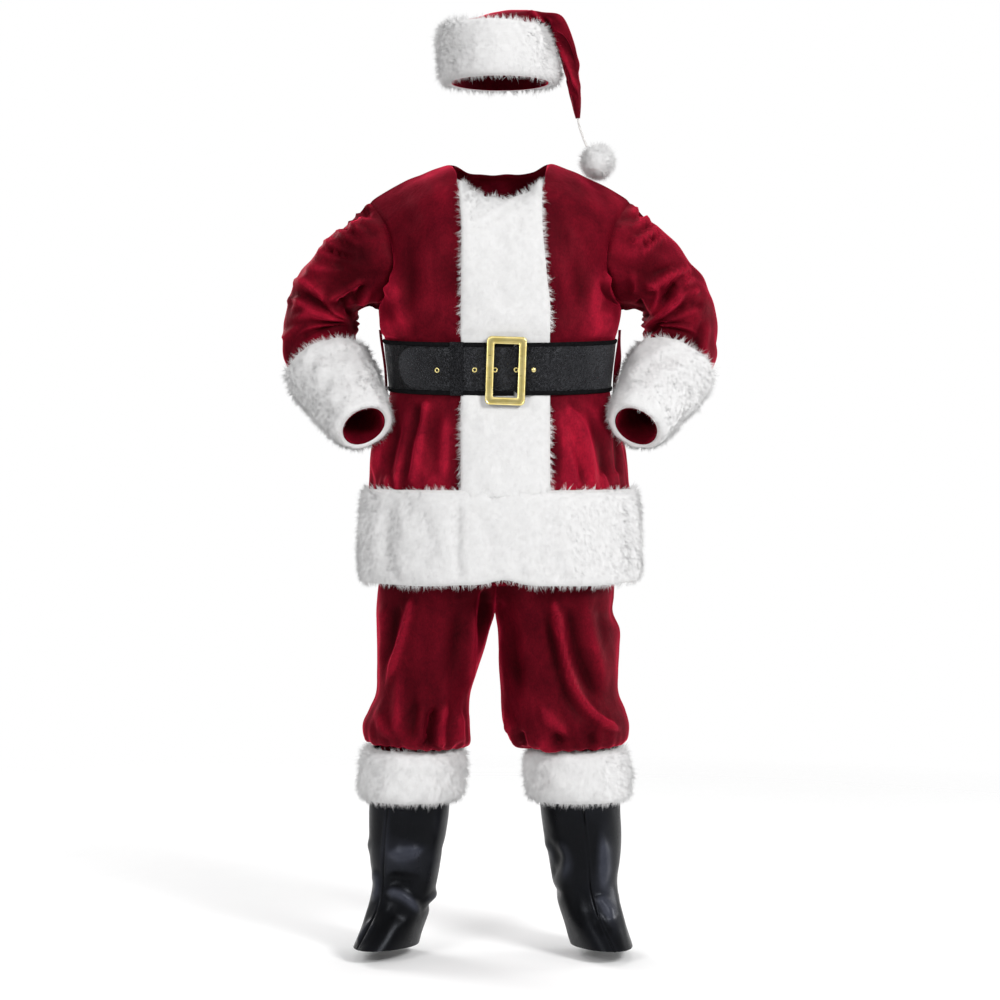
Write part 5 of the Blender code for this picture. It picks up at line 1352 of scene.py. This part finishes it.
def make_eyelets(belt):
    """Rolled gold eyelets along the tongue and one domed stud."""
    made = []
    ring = [(EYELET_RING + EYELET_ROLL[0] * math.cos(a), 0.0004 + EYELET_ROLL[1] * math.sin(a))
            for a in np.linspace(0, WHOLE_TURN, 13)[:-1]]
    dome = [(0.0001, -0.0003)] + [(STUD_DOME[0] * math.sin(a), STUD_DOME[1] * math.cos(a) - 0.0003)
                                  for a in np.linspace(math.pi / 2, 0.02, 8)]
    for name, x, profile in [*((f"belt_eyelet_{k + 1}", x, ring) for k, x in enumerate(EYELET_X)),
                             ("belt_stud", STUD_X, dome)]:
        column = belt.column(x)
        low, high = belt.ring[[0, -1], int(column * JACKET_FINE), 2]
        offset = belt.offset(column) + BELT_THICK + 0.0002
        point, n = belt.read(column, (EYELET_HEIGHT - low) / (high - low), offset)
        piece = turned_mesh(name + "_metal", profile, point, n)
        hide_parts(name)
        made.append(piece)
    return made


def outline(wide, tall, corner):
    """Points round a rectangle with round corners, from the middle of its right side."""
    points = []
    for quarter, (sx, sy) in enumerate(((1, 1), (-1, 1), (-1, -1), (1, -1))):
        for angle in np.linspace(0, math.pi / 2, 8) + quarter * math.pi / 2:
            points.append((sx * (wide / 2 - corner) + corner * math.cos(angle),
                           sy * (tall / 2 - corner) + corner * math.sin(angle)))
    return np.array(points)


def make_buckle(belt):
    """The gold frame: a raised rim at both edges of each bar and a shallow channel between."""
    out = outline(BUCKLE_WIDE, BUCKLE_TALL, BUCKLE_CORNER)
    hole = outline(BUCKLE_WIDE - 2 * BUCKLE_BAR, BUCKLE_TALL - 2 * BUCKLE_BAR, BUCKLE_HOLE_CORNER)
    t, rise = np.transpose(BUCKLE_SECTION)[..., None]
    x, z = np.moveaxis(out * (1 - t[..., None]) + hole * t[..., None], -1, 0)
    rise = rise - BUCKLE_THICK / 2 + 0 * x
    across, up = math.cos(BUCKLE_LEAN), math.sin(BUCKLE_LEAN)
    behind = belt.read(belt.column(BUCKLE_X), 0.5, ON_PLACKET + 2 * BELT_THICK + LIFT)[0]
    y = behind[1] - BUCKLE_STAND - BUCKLE_THICK / 2 - rise
    points = np.stack([BUCKLE_X + x * across + z * up, y, BUCKLE_HEIGHT - x * up + z * across], axis=-1)
    faces = tube_faces(*points.shape[:2])[:, ::-1].tolist()
    piece = new_object("buckle_metal", points.reshape(-1, 3), faces, "gold", sharp=35)
    # painted shade down the frame's side walls, darkest at their back edges
    painted_shading = np.interp(rise[:, 0], (0.0, 0.0008, 0.0014, 0.0027), (-1.0, -0.6, 0.0, 1.0))
    set_painted_light(piece, np.repeat(painted_shading, rise.shape[1]))
    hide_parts("buckle")


def make_belt_loops():
    """Velvet loops at the side seams, the left one's rear edge bowed out from the belt."""
    offs, heights = np.array(BELT_LOOP).T
    rings = np.array(JACKET)
    line = np.stack([np.interp(heights, rings[:, 0], rings[:, 1]) + offs * 0.8, heights], axis=1)
    knots = run_along(line)
    x, z = spline(line, knots, np.linspace(0, knots[-1], 41)).T[..., None]
    y = np.linspace(-LOOP_WIDE / 2, LOOP_WIDE / 2, 7)
    swell = 0.0026 * (1 - np.abs(y / (LOOP_WIDE / 2)) ** 3)
    bow = LOOP_FLARE * np.sin(np.linspace(0, math.pi, len(x)))[:, None] ** 2
    for side, sign in SIDES.items():
        inner_x = x + (sign > 0) * bow * (y / LOOP_WIDE + 0.5)
        inner, outer = (charted(sign * across, y, z) for across in (inner_x, inner_x + LOOP_THICK + swell))
        piece = shell(f"belt_loop_{side}_velvet", outer, inner, "velvet", halved=False)
        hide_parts("belt_loop_" + side)


# ---- the trousers ----
def fine_legs():
    """The four panels, right then left, front then back, with shared seams."""
    legs = {}
    for side, table in (("right", LEG_RIGHT), ("left", LEG_LEFT)):
        pair = [leg_grid(table, SIDES[side], way) for way in (-1, 1)]
        knots = knots_of(np.concatenate(pair, axis=1))
        for name, grid in zip(("front", "back"), pair):
            legs[name, side] = refined(grid, FINE, LEG_FINE, row_knots=knots)
    start = CROTCH_ROW * FINE
    for name in ("front", "back"):
        pair = {side: legs[name, side] for side in SIDES}
        middle = (pair["right"][start:, 0] + pair["left"][start:, 0]) / 2
        for side, grid in pair.items():
            target = grid[:, 0].copy()
            target[start:] = middle
            fade = ease((np.arange(len(grid)) - start + 10) / 10)[:, None]
            target = grid[:, 0] * (1 - fade) + np.where(fade > 0, target, 0) * fade
            legs[name, side] = pinned(grid, "first_col", target, 12)
    return legs


def drooped(grid):
    """The blouse above the boot sags unevenly over the top of its fur."""
    x = grid[..., 0] - np.where(grid[..., 0] < 0, BOOT_X["right"], BOOT_X["left"])
    out = ease((np.hypot(x, grid[..., 1]) - 0.080) / 0.015)
    drop = 0.009 + 0.005 * waves(grid * (1, 1, 0), 0.05, 55)
    grid = grid.copy()
    grid[..., 2] -= drop * out * bell((grid[..., 2] - BLOUSE_HEIGHT) / 0.020)
    return grid


def make_trousers():
    legs = fine_legs()
    for ((name, side), grid), n in zip(legs.items(), normals_of(list(legs.values()))):
        grid = drooped(grid)
        z, seed = grid[..., 2], LEG_SEED[side]
        if name == "front":
            folds = front_folds(grid, n, LEG_FRONT_FOLDS[side])
        else:
            folds = folds_on(grid[..., ::2] * (SIDES[side], 1), LEG_BACK_FOLDS)
        folds += uneven(grid, LEG_UNEVEN, seed)
        # the puckers where the blouse turns in over the boot top
        folds += pleats(run_along(grid[BLOUSE_ROW * FINE]), np.maximum(z - PUCKER_HEIGHT, 0), ANKLE_GATHERS,
                        seed + (2 if name == "front" else 3))
        folds *= ease((z - TUCK_HEIGHT) / 0.012)
        height = seamed(folds, from_edges(grid, SIDE_EDGES), 0.020, 0.0016)
        height *= ease((UNDER_JACKET - z) / 0.08)
        # the darker velvet copy: painted shade on the legs
        panel(f"trousers_{name}_{side}", grid, n, height, look="velvet_low")


def make_waistband(front, back, n_front, n_back):
    """The trousers' band inside the jacket's waist."""
    part = np.s_[BELT_ROWS[0] * FINE:BELT_ROWS[1] * FINE + 1:3, ::2]
    ring, n = ring_grid(front, back)[part], ring_grid(n_front, n_back)[part]
    outer = ring - n * (CLOTH + 0.0018)
    inner = outer - n * (WAISTBAND - 0.0014)
    piece = shell("waistband_velvet", outer, inner, "velvet", around=True, halved=False)
    stand_in("waistband")


# ---- the boot tops ----
def make_boot_top(side):
    """An inner and an outer panel with piped seams, and the fur cuff round the top."""
    ring = closed(refined(boot_grid(side)[:, :-1], FINE, BOOT_FINE, around=True))
    n, = normals_of([ring])
    seed = BOOT_SEED[side]
    chart = charted(np.linspace(0, BOOT_GIRTH, ring.shape[1]), ring[..., 2])
    folds = front_folds(ring, n, BOOT_FRONT_FOLDS[side]) + wrapped(chart, BOOT_FOLDS, BOOT_GIRTH)
    folds += uneven(ring, BOOT_UNEVEN, seed)
    folds *= ease((BOOT_FUR_LOW - ring[..., 2]) / 0.02)
    names = ("inner", "outer") if side == "right" else ("outer", "inner")
    for name, part in zip(names, halves(BOOT_COLS * BOOT_FINE)):
        far = from_edges(ring[part], SIDE_EDGES)
        height = seamed(folds[part], far, 0.012, 0.0012, 0.0022) + 0.0011 * bell((far - 0.0042) / 0.0018)
        panel(f"boottop_{name}_{side}", ring[part], n[part], height,
              slot="vinyl", look="boot", sharp=60)
    part = np.s_[-((BOOT_FUR_ROWS - 1) * FINE - 1):, :-1]       # its hairs cover the rest
    cuff = ring[part]
    reach = domed_reach(*cuff.shape[:2], BOOT_FUR_REACH, FUR_EDGE * 0.8, 0.3)
    fur_trim("boottop_fur_" + side, cuff, n[part], reach, around=True, seed=seed + 3, length=(0.010, 0.016))


# ---- the hat ----
def make_hat():
    """The soft crown with its tail, the fur band, and the pompom on its cord."""
    ring = closed(refined(crown_grid()[:, :-1], HAT_ROWS_FINE, HAT_FINE, around=True))
    n, = normals_of([ring])
    up = knots_of(ring)[:, None]
    chart = charted(np.linspace(0, HAT_GIRTH, ring.shape[1]), up)
    folds = front_folds(ring, n, HAT_FRONT_FOLDS) + wrapped(chart, HAT_FOLDS, HAT_GIRTH)
    folds += uneven(ring, HAT_UNEVEN, HAT_SEED)
    off_band = ease((ring[..., 2] - BAND_TOP) / 0.01) + ease((ring[..., 0] - 0.0999) / 0.01)
    folds *= np.clip(off_band, 0, 1) * ease((up[-1] - up) / 0.05)
    for name, part in zip(("back", "front"), halves(HAT_COLS * HAT_FINE)):
        height = seamed(folds[part], from_edges(ring[part], SIDE_EDGES), 0.010, 0.0012, 0.0035)
        panel("hat_crown_" + name, ring[part], n[part], height)
    part = np.s_[:(HAT_FUR_ROWS - 1) * HAT_ROWS_FINE + 1, :-1]
    band = ring[part]
    reach = domed_reach(*band.shape[:2], HAT_FUR_REACH, HAT_FUR_EDGE * 0.7, 0.3)
    cols = np.arange(band.shape[1])
    away = np.minimum(cols, len(cols) - cols) / HAT_FINE
    at_row = np.arange(len(band))[:, None] / HAT_ROWS_FINE
    pressed = np.interp(at_row, (0, 1, 2), (HAT_FUR_REACH, HAT_FUR_PRESSED[1], HAT_FUR_PRESSED[2]))
    near = 1 - ease(away - 1)
    reach = reach * (1 - near) + np.minimum(reach, pressed) * near
    fur_trim("hat_band_fur", band, n[part], reach, around=True, seed=95, lumpy=0.5, down=0.35, splay=0.8,
             length=(0.009, 0.014))
    make_pompom()


def make_pompom():
    """A ball of pile on the cord from the crown's tip."""
    ball = bmesh.new()
    bmesh.ops.create_icosphere(ball, subdivisions=4, radius=POMPOM_RADIUS * 0.70)
    for vertex in ball.verts:
        vertex.co = vertex.co * (1 + 0.05 * float(waves(np.array(vertex.co), 0.014, 97)))
    mesh = bpy.data.meshes.new("pompom_body")
    ball.to_mesh(mesh)
    ball.free()
    mesh.materials.append(LOOKS["fur"])
    mesh.shade_smooth()
    mesh.transform(Matrix.Translation(np.array(POMPOM) - (0, 0, NECK_HEIGHT)))
    body = linked("pompom_body", mesh, "fur")
    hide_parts("pompom")
    rng = np.random.default_rng(98)
    out = unit(rng.normal(size=(900, 3)))
    lay = out + rng.normal(size=out.shape) * 0.28 - np.array((0, 0, 0.22))
    pile = strands("pompom_pile", np.array(POMPOM) + out * POMPOM_RADIUS * 0.66, out, lay,
                   rng.uniform(0.010, 0.016, len(out)), rng)
    points = along(CORD_POINTS, 25) - (0, 0, NECK_HEIGHT)
    curve = bpy.data.curves.new("hat_cord_twist", "CURVE")
    curve.dimensions = "3D"
    curve.bevel_depth, curve.bevel_resolution = CORD_RADIUS, 4
    curve.use_fill_caps = True
    line = curve.splines.new("POLY")
    line.points.add(len(points) - 1)
    for spot, point in zip(line.points, points):
        spot.co = (*point, 1)
    line.use_smooth = True
    curve.materials.append(LOOKS["cord"])
    cord = linked("hat_cord_twist", curve, "fur")
    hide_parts("hat_cord")


# ---- materials ----
def add_node(tree, kind, inputs, **settings):
    """A shader node with its settings and its inputs, each a value or another node's output."""
    node = tree.nodes.new("ShaderNode" + kind)
    for key, value in settings.items():
        setattr(node, key, value)
    for key, value in inputs.items():
        if isinstance(value, bpy.types.NodeSocket):
            tree.links.new(value, node.inputs[key])
        else:
            node.inputs[key].default_value = value
    return node


class Look:
    """A Principled material with short ways to add noise, ramps, mixes and bumps."""

    def __init__(self, name, roughness, **sockets):
        self.material = bpy.data.materials.new(name)
        self.material.use_nodes = True
        self.tree = self.material.node_tree
        self.shader = self.tree.nodes["Principled BSDF"]
        self.shader.inputs["Roughness"].default_value = roughness
        for key, value in sockets.items():
            self.shader.inputs[key.replace("_", " ")].default_value = value
        self.where = self.add("TexCoord", {}).outputs["Object"]

    def add(self, kind, inputs, **settings):
        return add_node(self.tree, kind, inputs, **settings)

    def noise(self, scale, detail=2.0, rough=0.5, twist=0.0, stretch=(1, 1, 1)):
        at = self.add("Mapping", {"Vector": self.where, "Scale": stretch}).outputs["Vector"]
        return self.add("TexNoise", {"Vector": at, "Scale": scale, "Detail": detail, "Roughness": rough,
                                     "Distortion": twist}).outputs["Fac"]

    def cells(self, scale):
        return self.add("TexVoronoi", {"Vector": self.where, "Scale": scale}).outputs["Distance"]

    def weave(self, scale, axis="DIAGONAL", twist=0.0):
        return self.add("TexWave", {"Vector": self.where, "Scale": scale, "Distortion": twist},
                        bands_direction=axis).outputs["Fac"]

    def ramp(self, factor, *stops):
        node = self.add("ValToRGB", {"Fac": factor})
        band = node.color_ramp
        while len(band.elements) < len(stops):
            band.elements.new(0.5)
        for element, (at, colour) in zip(band.elements, stops):
            element.position = at
            element.color = (*colour, 1) if hasattr(colour, "__len__") else (colour, colour, colour, 1)
        return node.outputs["Color"]

    def math(self, way, a, b):
        return self.add("Math", {0: a, 1: b}, operation=way).outputs["Value"]

    def plain(self, noise, low, high):
        """A noise as a ramp from one colour or value to another."""
        return self.ramp(self.noise(*noise), low, high)

    def colour(self, base, *painted_shading):
        """The base colour, times a ramp over the painted light and shade stored on the piece, from 0 where
        the painted shade is darkest to 1.
        """
        if painted_shading:
            painted_light = self.add("Attribute", {}, attribute_name="painted_light").outputs["Fac"]
            light = self.ramp(self.math("ADD", self.math("MULTIPLY", painted_light, 0.5), 0.5), *painted_shading)
            mix = self.add("Mix", {}, data_type="RGBA", blend_type="MULTIPLY")
            mix.inputs[0].default_value = 1.0
            self.tree.links.new(base, mix.inputs[6])
            self.tree.links.new(light, mix.inputs[7])
            base = mix.outputs[2]
        self.tree.links.new(base, self.shader.inputs["Base Color"])

    def roughness(self, output):
        self.tree.links.new(output, self.shader.inputs["Roughness"])

    def bump(self, height, distance, strength=1.0):
        inputs = {"Height": height, "Distance": distance, "Strength": strength}
        before = self.shader.inputs["Normal"].links
        if before:
            inputs["Normal"] = before[0].from_socket
        self.tree.links.new(self.add("Bump", inputs).outputs["Normal"], self.shader.inputs["Normal"])


def make_looks():
    # the second velvet is a darker copy for the trousers: painted shade for the dimmer light on the legs
    LOOKS.update(velvet=velvet("crushed_velvet", 2.2), velvet_low=velvet("crushed_velvet_low", 1.7),
                 fur=fur_body(), strands=fur_strands(), vinyl=belt_vinyl("grained_vinyl", 0.24),
                 boot=boot_vinyl(), keeper=belt_vinyl("keeper_vinyl", 0.12), edging=binding(), gold=gold(),
                 cord=cord_twist())


def velvet(name, gain):
    """Crimson velvet: patches of crushed pile, with a painted highlight along its folds and painted shade
    between them.
    """
    look = Look(name, 0.7, Sheen_Weight=1.0, Sheen_Roughness=0.34,
                Sheen_Tint=(1.0, 0.030, 0.095, 1), Specular_IOR_Level=0.02)
    broad = look.noise(26, 4, 0.62, 0.8, (1.0, 1.0, 0.62))
    fine = look.noise(150, 2, 0.6, 0.5)
    fleck = look.noise(430, 2, 0.7, 0.4, (1.0, 1.0, 0.5))
    mixed_nap = look.math("ADD", look.math("MULTIPLY", broad, 0.46), look.math("MULTIPLY", fine, 0.22))
    mixed_nap = look.math("ADD", mixed_nap, look.math("MULTIPLY", fleck, 0.32))
    stops = ((0.30, (0.034, 0.0010, 0.0034)), (0.46, (0.062, 0.0016, 0.0052)),
             (0.60, (0.090, 0.0022, 0.0070)), (0.78, (0.150, 0.0036, 0.0112)))
    base = look.ramp(mixed_nap, *((at, tuple(gain * v for v in colour)) for at, colour in stops))
    # painted shade in the folds' valleys, painted highlight on their ridges and in the painted patches
    look.colour(base, (0.05, 0.20), (0.40, 0.42), (0.58, 0.56), (0.80, 0.85), (1.0, 1.45))
    look.roughness(look.ramp(broad, (0.3, 0.70), (0.7, 0.48)))
    look.bump(look.noise(60, 3, 0.6, 0.6), 0.0016, 0.45)
    look.bump(look.noise(700, 2, 0.6), 0.0005, 0.35)
    return look.material


def fur_body():
    look = Look("fur_ground", 1.0, Sheen_Weight=0.35, Sheen_Roughness=0.7)
    look.colour(look.plain((85, 3, 0.6, 0.6), (0.30, (0.550, 0.547, 0.545)), (0.62, (0.590, 0.588, 0.587))))
    look.bump(look.noise(420, 3, 0.65, 0.4), 0.0008, 0.25)
    return look.material


def fur_strands():
    look = Look("fur_pile", 0.85, Sheen_Weight=0.35, Sheen_Roughness=0.6, Specular_IOR_Level=0.25)
    look.colour(look.plain((110, 2, 0.5), (0.32, (0.538, 0.535, 0.534)), (0.60, (0.600, 0.598, 0.597))))
    return look.material


def belt_vinyl(name, shine):
    look = Look(name, 0.42, Specular_IOR_Level=shine, Specular_Tint=(0.90, 0.93, 1.0, 1))
    base = look.plain((45, 3, 0.6), (0.3, (0.0150, 0.0156, 0.0176)), (0.7, (0.0250, 0.0258, 0.0284)))
    # painted sheen and shade along the strap's front, from its tables
    look.colour(base, (0.10, 0.05), (0.50, 0.38), (0.75, 0.90), (0.95, 1.7))
    look.roughness(look.plain((80, 3, 0.6), (0.3, 0.30), (0.7, 0.44)))
    look.bump(look.ramp(look.cells(300), (0.1, 1.0), (0.6, 0.0)), 0.0026, 1.0)
    look.bump(look.noise(120, 3, 0.6, 0.5), 0.0022, 0.6)
    return look.material


def boot_vinyl():
    look = Look("boot_vinyl", 0.30, Specular_IOR_Level=0.11, Specular_Tint=(0.86, 0.90, 1.0, 1))
    base = look.plain((30, 3, 0.6), (0.3, (0.0150, 0.0162, 0.0220)), (0.7, (0.0230, 0.0245, 0.0320)))
    # painted highlights on the boots' ridges and painted patches, painted shade in their valleys and seams
    look.colour(base, (0.20, 0.03), (0.50, 0.09), (0.70, 0.50), (0.95, 1.6))
    look.roughness(look.plain((24, 4, 0.65), (0.3, 0.26), (0.7, 0.40)))
    look.bump(look.cells(520), 0.0003, 0.5)
    look.bump(look.noise(34, 3, 0.55, 0.4), 0.0010, 0.4)
    return look.material


def binding():
    look = Look("woven_binding", 0.9, Specular_IOR_Level=0.05)
    look.colour(look.plain((220, 2, 0.6), (0.3, (0.003, 0.003, 0.0035)), (0.7, (0.008, 0.008, 0.009))))
    look.bump(look.weave(420, "DIAGONAL", 1.0), 0.0005, 0.7)
    look.bump(look.weave(380, "Z", 0.5), 0.0004, 0.5)
    return look.material


def gold():
    look = Look("brushed_gold", 0.33, Metallic=0.90)
    base = look.plain((60, 3, 0.6), (0.3, (0.86, 0.70, 0.24)), (0.7, (1.0, 0.86, 0.40)))
    # painted shade on the buckle's side walls, from its stored shading
    look.colour(base, (0.0, 0.16), (0.20, 0.42), (0.45, 0.80), (0.95, 1.0))
    look.roughness(look.plain((40, 4, 0.65, 0.0, (1, 1, 9)), (0.3, 0.26), (0.7, 0.44)))
    look.bump(look.noise(300, 2, 0.5, 0.0, (1, 1, 9)), 0.0001, 0.25)
    return look.material


def cord_twist():
    look = Look("twisted_cord", 0.9, Sheen_Weight=0.3)
    look.colour(look.plain((300, 2), (0.3, (0.72, 0.70, 0.68)), (0.7, (0.90, 0.89, 0.87))))
    look.bump(look.weave(330, "DIAGONAL", 0.6), 0.0008, 0.9)
    return look.material


# ---- the studio ----
# name, place, where it points, size, power
LIGHTS = (
    ("key", (2.7, -3.35, 1.6), (0, 0, -0.40), 1.6, 180),
    ("fill", (-2.3, -3.7, 0.9), (0, 0, -0.5), 1.8, 78),
    ("top", (0.3, 0.6, 2.8), (0, 0, -0.2), 1.8, 36),
    ("back_right", (-2.4, 2.9, 0.9), (0, 0, -0.4), 1.8, 62),
    ("back_left", (3.3, 1.2, -0.75), (0, 0, -0.5), 1.1, 46),
)
FLOOR_RADII, FLOOR_POINTS = (0.5, 1.2, 2.0, 3.2), 64


def make_stage():
    """A round pale floor that fades out into a white surround, and soft light from all sides."""
    angles = np.linspace(0, WHOLE_TURN, FLOOR_POINTS, endpoint=False)
    rings = [(r * math.cos(a), r * math.sin(a), 0.0) for r in FLOOR_RADII for a in angles]
    index = closed(np.arange(len(rings)).reshape(-1, FLOOR_POINTS))
    mesh = bpy.data.meshes.new("studio_floor")
    mesh.from_pydata(rings, [], quads(index).tolist() + [list(range(FLOOR_POINTS))])
    paper = Look("studio_paper", 0.9)
    paper.colour(paper.plain((3, 2), (0.3, 0.93), (0.7, 0.95)))
    fade_out(paper)
    mesh.materials.append(paper.material)
    floor = linked("studio_floor", mesh)
    floor.location.z = -NECK_HEIGHT
    surround()
    for name, at, to, size, power in LIGHTS:
        lamp = bpy.data.lights.new(name, "AREA")
        lamp.shape, lamp.size, lamp.energy = "DISK", size, power
        obj = linked(name, lamp)
        aim(obj, at, to)
        obj.visible_camera = False


def fade_out(paper):
    """The floor turns clear from 1.3 m out, so that no edge or horizon shows in any view."""
    far = paper.add("VectorMath", {0: paper.where}, operation="LENGTH").outputs["Value"]
    share = paper.ramp(paper.math("MULTIPLY", far, 0.3), (0.36, 0.0), (0.90, 1.0))
    clear = paper.add("BsdfTransparent", {}).outputs[0]
    mix = paper.add("MixShader", {0: share, 1: paper.shader.outputs[0], 2: clear})
    paper.tree.links.new(mix.outputs[0], paper.tree.nodes["Material Output"].inputs["Surface"])


def surround():
    """A white surround to look at, and dimmer light from it."""
    world = bpy.data.worlds.new("studio_world")
    world.use_nodes = True
    tree = world.node_tree
    dim = tree.nodes["Background"]
    dim.inputs["Color"].default_value = (1, 1, 1, 1)
    dim.inputs["Strength"].default_value = 0.42
    white = add_node(tree, "Background", {"Color": (1, 1, 1, 1), "Strength": 1.0})
    to_camera = add_node(tree, "LightPath", {}).outputs["Is Camera Ray"]
    mix = add_node(tree, "MixShader", {0: to_camera, 1: dim.outputs[0], 2: white.outputs[0]})
    tree.links.new(mix.outputs[0], tree.nodes["World Output"].inputs["Surface"])
    bpy.context.scene.world = world


def aim(thing, at, to):
    thing.location = at
    thing.rotation_euler = (Vector(to) - Vector(at)).to_track_quat("-Z", "Y").to_euler()


def make_camera():
    lens = bpy.data.cameras.new("camera")
    lens.lens, lens.sensor_width = LENS, 36
    camera = linked("camera", lens)
    aim(camera, (0, EYE_Y, EYE_HEIGHT - NECK_HEIGHT), (0, 0, AIM_HEIGHT - NECK_HEIGHT))
    bpy.context.scene.camera = camera
    bpy.context.scene.view_settings.view_transform = "Standard"


def main():
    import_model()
    make_camera()
    make_looks()
    body = make_jacket()
    make_front_fur(body[0], body[2])
    make_hem_fur(*body)
    belt = Belt(*body)
    make_belt(belt)
    make_buckle(belt)
    make_belt_loops()
    make_trousers()
    make_waistband(*body)
    for side in SIDES:
        make_boot_top(side)
    make_hat()
    make_stage()


main()
